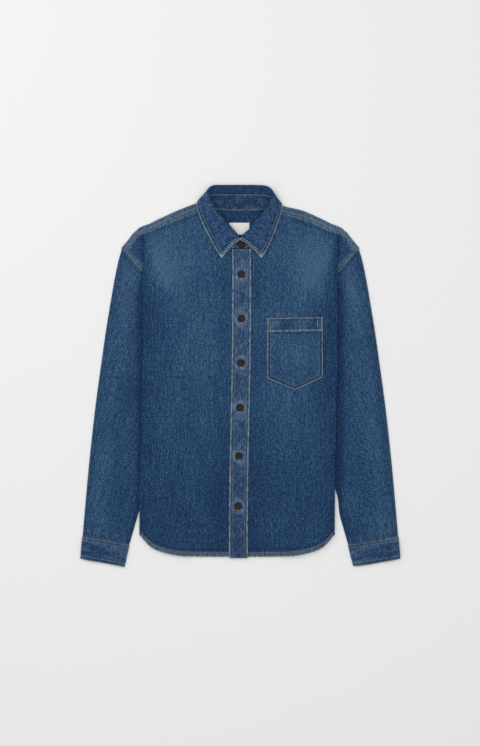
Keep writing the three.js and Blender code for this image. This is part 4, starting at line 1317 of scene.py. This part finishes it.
def build_stitches(name, kind, material, thickness):
    """Copies one modelled stitch to every place of its kind, as one mesh."""
    clear_selection()
    bpy.ops.mesh.primitive_uv_sphere_add(segments=6, ring_count=5, radius=1)
    piece = bpy.context.object
    piece.name = piece.data.name = name
    base = piece.data
    around = np.zeros(len(base.vertices) * 3, np.float32)
    base.vertices.foreach_get("co", around)
    around = around.reshape(-1, 3)
    around = around[:, [2, 0, 1]]
    around[:, 0] = np.sign(around[:, 0]) * np.abs(around[:, 0]) ** 0.6
    faces = [tuple(p.vertices) for p in base.polygons]
    points, polygons = [], []
    for a, b in STITCHES[kind]:
        a, b = Vector(a), Vector(b)
        way = (b - a).normalized()
        side = way.cross(Vector((0, 0, 1))).normalized()
        up = side.cross(way)
        frame_of = np.array([way * (b - a).length / 2, side * thickness / 2, up * thickness / 2])
        start = len(points) * len(around)
        points.append((around @ frame_of + np.array((a + b) / 2)) * MM)
        polygons += [tuple(start + i for i in face) for face in faces]
    mesh = bpy.data.meshes.new(name)
    mesh.from_pydata(np.concatenate(points).tolist(), [], polygons)
    piece.data = mesh
    bpy.data.meshes.remove(base)
    take(piece)
    bpy.ops.object.shade_smooth()
    piece.data.materials.append(material)
    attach(piece, "root")
    return piece


# Materials
class Graph:
    """Short ways to add the nodes that the finishes use."""

    def __init__(self, tree):
        self.nodes, self.links = tree.nodes, tree.links

    def give(self, value, place):
        if isinstance(value, (int, float, tuple)):
            place.default_value = value
        else:
            self.links.new(value, place)

    def fill(self, node, **values):
        """Gives a node its values, each to the input of that name."""
        for name, value in values.items():
            self.give(value, node.inputs[name.replace("_", " ")])
        return node

    def stretched(self, vector, *scale):
        node = self.fill(self.nodes.new("ShaderNodeMapping"), Vector=vector, Scale=scale)
        return node.outputs["Vector"]

    def cloud(self, vector, scale=1.0, detail=3.0, rough=0.6):
        node = self.nodes.new("ShaderNodeTexNoise")
        self.fill(node, Vector=vector, Scale=scale, Detail=detail, Roughness=rough)
        return node.outputs["Fac"]

    def maths(self, operation, a, b=0.0, c=0.0, clamp=False):
        node = self.nodes.new("ShaderNodeMath")
        node.operation, node.use_clamp = operation, clamp
        for place, value in enumerate((a, b, c)):
            self.give(value, node.inputs[place])
        return node.outputs[0]

    def scaled(self, value, factor, offset=0.0):
        return self.maths("MULTIPLY_ADD", value, factor, offset)

    def band(self, value, low, high):
        node = self.nodes.new("ShaderNodeMapRange")
        node.interpolation_type = "SMOOTHSTEP"
        self.fill(node, Value=value, From_Min=low, From_Max=high)
        return node.outputs["Result"]

    def blend(self, share, a, b):
        node = self.nodes.new("ShaderNodeMix")
        node.data_type = "RGBA"
        for value, place in ((share, 0), (a, 6), (b, 7)):
            self.give(value, node.inputs[place])
        return node.outputs[2]

    def mark(self, name):
        node = self.nodes.new("ShaderNodeAttribute")
        node.attribute_name = name
        return node.outputs["Fac"]

    def bump(self, height, strength, distance):
        node = self.nodes.new("ShaderNodeBump")
        self.fill(node, Height=height, Strength=strength, Distance=distance)
        return node.outputs["Normal"]


def denim_weave():
    """Colour, roughness and height of washed denim, from the cloth's own map and marks; the shade mark is
    mostly painted shade.
    """
    if "Denim weave" in bpy.data.node_groups:
        return bpy.data.node_groups["Denim weave"]
    group = bpy.data.node_groups.new("Denim weave", "ShaderNodeTree")
    for into, kind, names in (
        ("INPUT", "Color", ("Deep", "Mid", "Pale", "Worn")), ("INPUT", "Float", ("Streaks", "Blotches")),
        ("OUTPUT", "Color", ("Color",)), ("OUTPUT", "Float", ("Roughness", "Height")),
    ):
        for name in names:
            group.interface.new_socket(name=name, in_out=into, socket_type="NodeSocket" + kind)
    graph = Graph(group)
    given = graph.nodes.new("NodeGroupInput").outputs
    result = graph.nodes.new("NodeGroupOutput")
    uv = graph.nodes.new("ShaderNodeUVMap")
    uv.uv_map = "UVMap"
    cloth = uv.outputs["UV"]

    def threads(across, down, detail, rough=0.6):
        return graph.cloud(graph.stretched(cloth, across, down, 1), detail=detail, rough=rough)

    slub = threads(300, 14, 3)
    fine_slub = threads(560, 90, 3)
    weft = threads(240, 330, 2)
    fleck = threads(420, 230, 2)
    blotch = threads(150, 120, 3, 0.65)
    mottle = threads(265, 85, 4, 0.7)
    wash = threads(13, 8, 3)
    twill = graph.nodes.new("ShaderNodeTexWave")
    graph.fill(twill, Vector=graph.stretched(cloth, 260, 170, 1), Scale=1.0, Distortion=0.8)
    twill.bands_direction = "DIAGONAL"

    fade = graph.maths("ADD", graph.mark("fade"), graph.scaled(wash, 1.3, -0.65))
    tone = graph.scaled(slub, 3.0, -1.5)
    tone = graph.maths("ADD", tone, graph.scaled(fine_slub, 5.6, -2.8))
    tone = graph.maths("ADD", tone, graph.scaled(weft, 6.0, -3.0))
    tone = graph.maths("MULTIPLY", tone, given["Streaks"])
    blotches = graph.maths("MULTIPLY", graph.scaled(blotch, 5.0, -2.5), given["Blotches"])
    wear = graph.mark("wear")
    open_weave = graph.band(mottle, 0.42, 0.58)
    # Painted shade from the shade mark, with some random darker tone, takes the colour towards Deep.
    depth = graph.maths("SUBTRACT", fade, graph.mark("shade"))
    depth = graph.maths("ADD", depth, graph.maths("ADD", tone, blotches))
    between_threads = graph.maths("MULTIPLY", wear, graph.scaled(open_weave, -1.0, 1.0))
    depth = graph.maths("SUBTRACT", depth, graph.maths("MULTIPLY", between_threads, 1.2))
    light = graph.maths("MULTIPLY", depth, 0.85, clamp=True)
    dark = graph.maths("MULTIPLY", depth, -0.66, clamp=True)
    colour = graph.blend(light, given["Mid"], given["Pale"])
    colour = graph.blend(dark, colour, given["Deep"])
    flecks = graph.maths("MULTIPLY", graph.band(fleck, 0.56, 0.72), 0.14)
    colour = graph.blend(flecks, colour, given["Worn"])
    worn = graph.maths("MULTIPLY", wear, graph.scaled(open_weave, 0.7, 0.3))
    colour = graph.blend(graph.maths("MULTIPLY", worn, 0.9, clamp=True), colour, given["Worn"])
    relief = graph.scaled(twill.outputs["Fac"], 0.3, graph.maths("MULTIPLY", fine_slub, 0.6))
    relief = graph.maths("ADD", relief, graph.maths("MULTIPLY", graph.maths("MULTIPLY", wear, mottle), 1.6))
    graph.fill(result, Color=colour, Roughness=graph.scaled(fine_slub, 0.16, 0.78), Height=relief)
    return group


def new_material(name):
    """A new material, its graph and its shader."""
    material = bpy.data.materials.new(name)
    material.use_nodes = True
    graph = Graph(material.node_tree)
    return material, graph, graph.nodes["Principled BSDF"]


def denim_material(name, streaks, blotches, cast):
    """cast tints the denim of the doubled pieces, which have washed out greyer."""
    material, graph, shader = new_material(name)
    graph.fill(shader, Sheen_Weight=0.03, Sheen_Roughness=0.5, Sheen_Tint=(0.5, 0.65, 0.85, 1),
               Specular_IOR_Level=0.1)
    weave = graph.nodes.new("ShaderNodeGroup")
    weave.node_tree = denim_weave()
    chosen = colours()
    deep, mid, pale = (
        (*[c * k for c, k in zip(colour, cast)], 1) for colour in (chosen.deep, chosen.mid, chosen.pale)
    )
    graph.fill(weave, Deep=deep, Mid=mid, Pale=pale, Worn=(*chosen.worn, 1))
    graph.fill(weave, Streaks=streaks, Blotches=blotches)
    graph.fill(shader, Base_Color=weave.outputs["Color"], Roughness=weave.outputs["Roughness"],
               Normal=graph.bump(weave.outputs["Height"], 0.5, 0.0005))
    return material


def grained_material(name, dark, light, roughness, scale, relief, stretch=(1, 1, 1)):
    """A finish whose colour runs between two tones over a noise in the piece's own place."""
    material, graph, shader = new_material(name)
    place = graph.nodes.new("ShaderNodeTexCoord").outputs["Object"]
    grain = graph.cloud(graph.stretched(place, *stretch), scale, 4)
    colour = graph.blend(graph.band(grain, 0.35, 0.68), (*dark, 1), (*light, 1))
    graph.fill(shader, Base_Color=colour, Roughness=roughness, Normal=graph.bump(grain, relief, 0.0003))
    return material


def shared_material(name, make, *values):
    return bpy.data.materials.get(name) or make(name, *values)


def denim():
    return shared_material("washed denim", denim_material, 1.0, 0.0, (1, 1, 1))


def doubled_denim():
    return shared_material("doubled denim", denim_material, 0.9, 0.75, (1.16, 1.0, 1.04))


def horn_material(name):
    dark = tuple(colours().horn)
    material = grained_material(name, dark, [c * 2.4 for c in dark], 0.45, 260.0, 0.1, (1, 2.5, 1))
    material.node_tree.nodes["Principled BSDF"].inputs["Specular IOR Level"].default_value = 0.22
    return material


def label_material(name):
    white = tuple(colours().label)
    return grained_material(name, [c * 0.93 for c in white], white, 0.7, 1400.0, 0.35, (1, 3, 1))


FINISHES = {
    "denim": denim,
    "denim_trim": doubled_denim,
    "label": lambda: shared_material("label weave", label_material),
    "button": lambda: shared_material("horn", horn_material),
}


def thread_material(name, colour):
    dark = [c * 0.72 for c in colour]
    return shared_material(name, grained_material, dark, tuple(colour), 0.7, 900.0, 0.3)


# What a user would change
def colour(name, description, *value):
    return FloatVectorProperty(
        name=name, description=description, subtype="COLOR", min=0, max=1, default=value)


def length(name, description, value, least):
    return FloatProperty(
        name=name, description=description, unit="LENGTH", min=least, default=value, precision=4)


class ShirtColours(bpy.types.PropertyGroup):
    # Deep is also the colour that the painted shade darkens the denim towards.
    deep: colour("Deep denim", "Denim where it stays dark", 0.0060, 0.0245, 0.0705)
    mid: colour("Denim", "Denim over most of the shirt", 0.0182, 0.0618, 0.144)
    pale: colour("Faded denim", "Denim where it has faded", 0.059, 0.120, 0.211)
    worn: colour("Worn denim", "Denim worn to its white threads", 0.26, 0.345, 0.40)
    thread: colour("Seam thread", "Thread of the seams", 0.23, 0.29, 0.27)
    tan_thread: colour("Tack thread", "Thread of bar tacks and buttonholes", 0.62, 0.38, 0.16)
    gold_thread: colour("Pocket thread", "Thread round the pocket", 0.42, 0.33, 0.25)
    horn: colour("Buttons", "Horn of the buttons", 0.013, 0.0052, 0.0032)
    label: colour("Label", "Blank label at the neck", 0.84, 0.82, 0.77)
    floor: colour("Floor", "Plain pale floor", 0.90, 0.90, 0.90)


class ShirtSewing(bpy.types.PropertyGroup):
    stitch_pitch: length("Stitch pitch", "Way from one stitch to the next", 0.0036, 0.002)
    stitch_length: length("Stitch length", "Length of thread that shows in a stitch", 0.0027, 0.001)
    thread_thickness: length("Thread", "Thickness of the seam thread", 0.0007, 0.0002)


class ShirtLight(bpy.types.PropertyGroup):
    overhead: FloatProperty(
        name="Overhead light", description="Power of the large light above", subtype="POWER", min=0,
        default=50.0)
    side: FloatProperty(
        name="Side light", description="Power of the light from the upper left", subtype="POWER", min=0,
        default=14.0)
    surround: FloatProperty(
        name="Surround", description="Strength of the even light from all sides", min=0, default=0.5)


def colours():
    return bpy.context.scene.shirt_colours


def sewing():
    return bpy.context.scene.shirt_sewing


def offset_line(points, away):
    """A polyline moved sideways by `away` millimetres, to the left of its direction."""
    made = []
    for n, (x, y) in enumerate(points):
        ax, ay = points[max(0, n - 1)]
        bx, by = points[min(len(points) - 1, n + 1)]
        size = math.hypot(bx - ax, by - ay) or 1.0
        made.append((x - (by - ay) / size * away, y + (bx - ax) / size * away))
    return made


def flipped_line(points, side, drifts=True):
    return [(x * side + (drift(y) if drifts else 0), y) for x, y in points]


class SHIRT_OT_back(bpy.types.Operator):
    """Build the back panel, which lies on the surface"""
    bl_idname = "shirt.back"
    bl_label = "Back"

    def execute(self, context):
        build_cloth("back", back_nodes(), CLOTH, "denim")
        return {"FINISHED"}


class SHIRT_OT_fronts(bpy.types.Operator):
    """Build both fronts, with their sides turned under"""
    bl_idname = "shirt.fronts"
    bl_label = "Fronts"

    def execute(self, context):
        for name, inner_x, side in (("front_right", -LAP_EDGE, -1), ("front_left", LAP_EDGE + GAP, 1)):
            rows = on_side(front_nodes(inner_x, side), side)
            build_cloth(name, rows, CLOTH, "denim")
        return {"FINISHED"}


class SHIRT_OT_yoke(bpy.types.Operator):
    """Build the yoke over both shoulders"""
    bl_idname = "shirt.yoke"
    bl_label = "Yoke"

    def execute(self, context):
        build_cloth("yoke", yoke_nodes(), CLOTH, "denim")
        return {"FINISHED"}


class SHIRT_OT_sleeves(bpy.types.Operator):
    """Build both sleeves as flattened tubes, and their cuffs"""
    bl_idname = "shirt.sleeves"
    bl_label = "Sleeves and cuffs"

    def execute(self, context):
        for name, side in (("left", 1), ("right", -1)):
            build_sleeve(name, side)
            build_cuff(name, side)
        return {"FINISHED"}


class SHIRT_OT_placket(bpy.types.Operator):
    """Build the buttonhole band on the left front"""
    bl_idname = "shirt.placket"
    bl_label = "Placket"

    def execute(self, context):
        rows = placket_nodes(surface_of("front_left", "front_right"))
        build_cloth("placket", rows, DOUBLED, "denim_trim")
        return {"FINISHED"}


class SHIRT_OT_pocket(bpy.types.Operator):
    """Build the chest pocket and its hem band"""
    bl_idname = "shirt.pocket"
    bl_label = "Pocket"

    def execute(self, context):
        tree = surface_of("front_left")
        downs = closer_at_ends(POCKET["hem_bottom"] - POCKET["point"], EDGE_STEPS, 3.2, False)
        rows = pocket_nodes(tree, pocket_point, downs, CLOTH, pocket_look)
        build_cloth("pocket", rows, CLOTH, "denim")
        downs = closer_at_ends(POCKET["hem_top"] - POCKET["hem_bottom"], BAND_STEPS, 2.0)
        rows = pocket_nodes(tree, pocket_band_point, downs, DOUBLED, pocket_band_look)
        build_cloth("pocket_hem", rows, DOUBLED, "denim")
        return {"FINISHED"}


class SHIRT_OT_collar(bpy.types.Operator):
    """Build the collar's stand and its turned fall"""
    bl_idname = "shirt.collar"
    bl_label = "Collar"

    def execute(self, context):
        build_cloth("collar_stand", stand_nodes(), DOUBLED, "denim_trim")
        build_cloth("collar_fall", fall_nodes(), DOUBLED, "denim_trim")
        return {"FINISHED"}


class SHIRT_OT_label(bpy.types.Operator):
    """Build the blank label inside the neck"""
    bl_idname = "shirt.label"
    bl_label = "Neck label"

    def execute(self, context):
        build_cloth("neck_label", label_nodes(), LABEL_THICKNESS, "label")
        return {"FINISHED"}


class SHIRT_OT_buttons(bpy.types.Operator):
    """Build the front and cuff buttons"""
    bl_idname = "shirt.buttons"
    bl_label = "Buttons"

    def execute(self, context):
        for name in (*["button_%d" % n for n in range(1, 8)], "button_cuff_left", "button_cuff_right"):
            low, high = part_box(name)
            x, y = ((low[k] + high[k]) / 2 / MM for k in range(2))
            base = low[2] / MM
            make_button(name, x, y, base)
            if "cuff" not in name:
                lay_cross(x, y, base + THREAD_ON_BUTTON)
        return {"FINISHED"}


NECK_SEAMS = ([(-67, 386.5), (-30, 384.5), (0, 383.2), (30, 384.5), (57, 386.5)],
              [(-50, 352.7), (-25, 350.8), (0, 350.0), (25, 350.8), (45, 352.4)])


class SHIRT_OT_stitching(bpy.types.Operator):
    """Sew the seams, bar tacks and buttonholes"""
    bl_idname = "shirt.stitching"
    bl_label = "Stitching"

    def execute(self, context):
        body = surface_of("front_left", "front_right", "yoke")
        above = surface_of("placket", "pocket", "pocket_hem", "collar_fall", "collar_stand", "front_left",
                           "front_right", "yoke", "cuff_left", "cuff_right")
        sizes = sewing()
        for side in (-1, 1):
            self.sew_half(body, above, side, sizes)
        for line in NECK_SEAMS:
            sew(above, line, sizes)
        for x in (BAND_LEFT + 1.9, BAND_LEFT + 6.6, BAND_RIGHT - 1.9, BAND_RIGHT - 6.6):
            line = [(x + drift(y), y) for y in spread(BAND_TOP - 2, BAND_BOTTOM + 1.5, 12)]
            sew(above, line, sizes)
        self.sew_pocket(above, sizes)
        self.sew_buttonholes(above)
        chosen, thin = colours(), sizes.thread_thickness / MM
        for name, kind, thread, colour_of, thickness in (
            ("seam_stitches", "seam", "seam thread", chosen.thread, thin),
            ("pocket_stitches", "gold", "gold thread", chosen.gold_thread, thin),
            ("tack_stitches", "tan", "tack thread", chosen.tan_thread, TACK_THREAD),
            ("button_stitches", "dark", "button thread", chosen.horn, BUTTON_THREAD),
        ):
            build_stitches(name, kind, thread_material(thread, colour_of), thickness)
        return {"FINISHED"}

    def sew_half(self, body, above, side, sizes):
        seam = [(x, along(NECK_AND_YOKE_SEAM, "x", "y", x)) for x in spread(82, SIDE_X, 8)]
        seam += [(x, YOKE_SIDE_Y - max(0.0, x - SIDE_X - STRAIGHT_PAST_SIDE) * SEAM_FALL)
                 for x in spread(SIDE_X, 222, 6)[1:]]
        for away in (2.0, 8.6):
            sew(body, flipped_line(offset_line(seam, away), side), sizes)
        for away in (1.6, ARMHOLE_BAND - 1.8):
            line = [(armhole_x(y) - away * ARMHOLE_SLANT, y) for y in spread(262, 205, 2)]
            sew(body, flipped_line([p for p in line if p[0] > SIDE_X + 3.5], side), sizes)
        for up in (1.8, HEM_BAND - 1.2):
            line = [(x, curved(HEM, "x", "y", x) + up) for x in spread(23 if side > 0 else 18, SIDE_X - 3, 6)]
            sew(body, flipped_line(line, side), sizes)
        for away in (1.6, 7.6):
            line = []
            for at in STATIONS:
                if at >= LEAF_FROM:
                    *_, before, edge = fall_points(at, side)
                    place = edge + (before - edge).normalized() * away
                    line.append((place.x * side, place.y))
            sew(above, line, sizes)
        front, behind = fall_points(COLLAR_LAST, side), fall_points(COLLAR_LAST - 0.5, side)
        tip, fold = front[-1], front[LEAF_EDGE_POINTS]
        inward = (behind[-LEAF_EDGE_POINTS] - front[-LEAF_EDGE_POINTS]).normalized()
        line = [tip.lerp(fold, share) + inward * 2.2 for share in (0.06, 0.5, 1)]
        sew(above, [(p.x * side, p.y) for p in line], sizes)
        for ends, up in ((CUFF_END, 2.0), (CUFF_END, 7.0), (CUFF_SEAM, -2.4)):
            line = [(x, y + up) for x, y in (between(*ends, share) for share in (0.02, 0.5, 0.98))]
            sew(above, flipped_line(line, side, False), sizes)

    def sew_pocket(self, above, sizes):
        left, right, top = POCKET["left"], POCKET["right"], POCKET["hem_top"]

        def tilted(points):
            return [(x, y + (x - left) / (right - left) * POCKET_TILT) for x, y in points]

        for inset, kind in ((1.3, "gold"), (6.6, "seam")):
            side_y = POCKET["side"] + inset * 0.9
            line = [
                (left + inset, top - 2), (left + inset, side_y),
                ((left + right) / 2, POCKET["point"] + inset * 1.08),
                (right - inset, side_y), (right - inset, top - 2),
            ]
            sew(above, tilted(line), sizes, kind)
        for down in (1.6, 27.6):
            sew(above, tilted([(left + 1.5, top - down), (right - 1.5, top - down)]), sizes)
        bar_tack(above, left + 2.0, top - 7.5, 11)
        bar_tack(above, right - 2.0, top + POCKET_TILT - 7.5, 11)
        bar_tack(above, right - 11.0, top + POCKET_TILT - 13.5, 15)

    def sew_buttonholes(self, above):
        for y in BUTTON_YS:
            x = BUTTON_X + drift(y)
            bar_tack(above, x, y - 9.4, 3.6, 3.2)
            bar_tack(above, x, y + 8.6, 2.2, 1.2)


CAMERA_PLACE = (-0.0008, 0.0057, 3.734)
LENS = 85


class SHIRT_OT_stage(bpy.types.Operator):
    """Build the floor, lights and camera"""
    bl_idname = "shirt.stage"
    bl_label = "Stage"

    def execute(self, context):
        light = context.scene.shirt_light
        clear_selection()
        bpy.ops.mesh.primitive_plane_add(size=6, location=(0, 0, -0.0002))
        floor = context.object
        floor.name = "floor"
        floor.data.transform(Matrix.Translation(floor.location))
        floor.location = (0, 0, 0)
        material, graph, shader = new_material("pale floor")
        graph.fill(shader, Base_Color=(*colours().floor, 1), Roughness=0.9)
        floor.data.materials.append(material)
        for name, place, size, power in (
            ("overhead light", (0.0, 0.25, 3.0), 4.0, light.overhead),
            ("side light", (-1.9, 1.5, 1.6), 1.4, light.side),
        ):
            bpy.ops.object.light_add(type="AREA", location=place)
            lamp = context.object
            lamp.name = name
            lamp.data.size = size
            lamp.data.energy = power
            lamp.rotation_euler = (-Vector(place)).to_track_quat("-Z", "Y").to_euler()
        world = bpy.data.worlds.new("surround")
        context.scene.world = world
        world.use_nodes = True
        graph = Graph(world.node_tree)
        graph.fill(graph.nodes["Background"], Color=(1, 1, 1, 1), Strength=light.surround)
        bpy.ops.object.camera_add(location=CAMERA_PLACE, rotation=(0, 0, 0))
        camera = context.object
        camera.name = "camera"
        camera.data.lens = LENS
        camera.data.sensor_width = 36
        context.scene.camera = camera
        context.scene.view_settings.view_transform = "Standard"
        return {"FINISHED"}


class SHIRT_PT_panel(bpy.types.Panel):
    """Lists what the shirt is made of and what can be changed"""
    bl_label = "Denim shirt"
    bl_idname = "SHIRT_PT_panel"
    bl_space_type = "VIEW_3D"
    bl_region_type = "UI"
    bl_category = "Shirt"

    def draw(self, context):
        for group in (context.scene.shirt_colours, context.scene.shirt_sewing, context.scene.shirt_light):
            box = self.layout.box()
            for name in group.__annotations__:
                box.prop(group, name)
        for operator in OPERATORS:
            self.layout.operator(operator.bl_idname)


OPERATORS = (
    SHIRT_OT_back, SHIRT_OT_fronts, SHIRT_OT_yoke, SHIRT_OT_sleeves, SHIRT_OT_placket, SHIRT_OT_pocket,
    SHIRT_OT_collar, SHIRT_OT_label, SHIRT_OT_buttons, SHIRT_OT_stitching, SHIRT_OT_stage,
)
GROUPS = (ShirtColours, ShirtSewing, ShirtLight)


def register():
    for made in (*GROUPS, *OPERATORS, SHIRT_PT_panel):
        bpy.utils.register_class(made)
    bpy.types.Scene.shirt_colours = PointerProperty(type=ShirtColours)
    bpy.types.Scene.shirt_sewing = PointerProperty(type=ShirtSewing)
    bpy.types.Scene.shirt_light = PointerProperty(type=ShirtLight)


def unregister():
    del bpy.types.Scene.shirt_light
    del bpy.types.Scene.shirt_sewing
    del bpy.types.Scene.shirt_colours
    for made in reversed((*GROUPS, *OPERATORS, SHIRT_PT_panel)):
        bpy.utils.unregister_class(made)


def main():
    register()
    bpy.ops.shirt.back()
    bpy.ops.shirt.fronts()
    bpy.ops.shirt.yoke()
    bpy.ops.shirt.sleeves()
    bpy.ops.shirt.placket()
    bpy.ops.shirt.pocket()
    bpy.ops.shirt.collar()
    bpy.ops.shirt.label()
    bpy.ops.shirt.buttons()
    bpy.ops.shirt.stitching()
    bpy.ops.shirt.stage()
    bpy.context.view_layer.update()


if __name__ == "__main__":
    main()
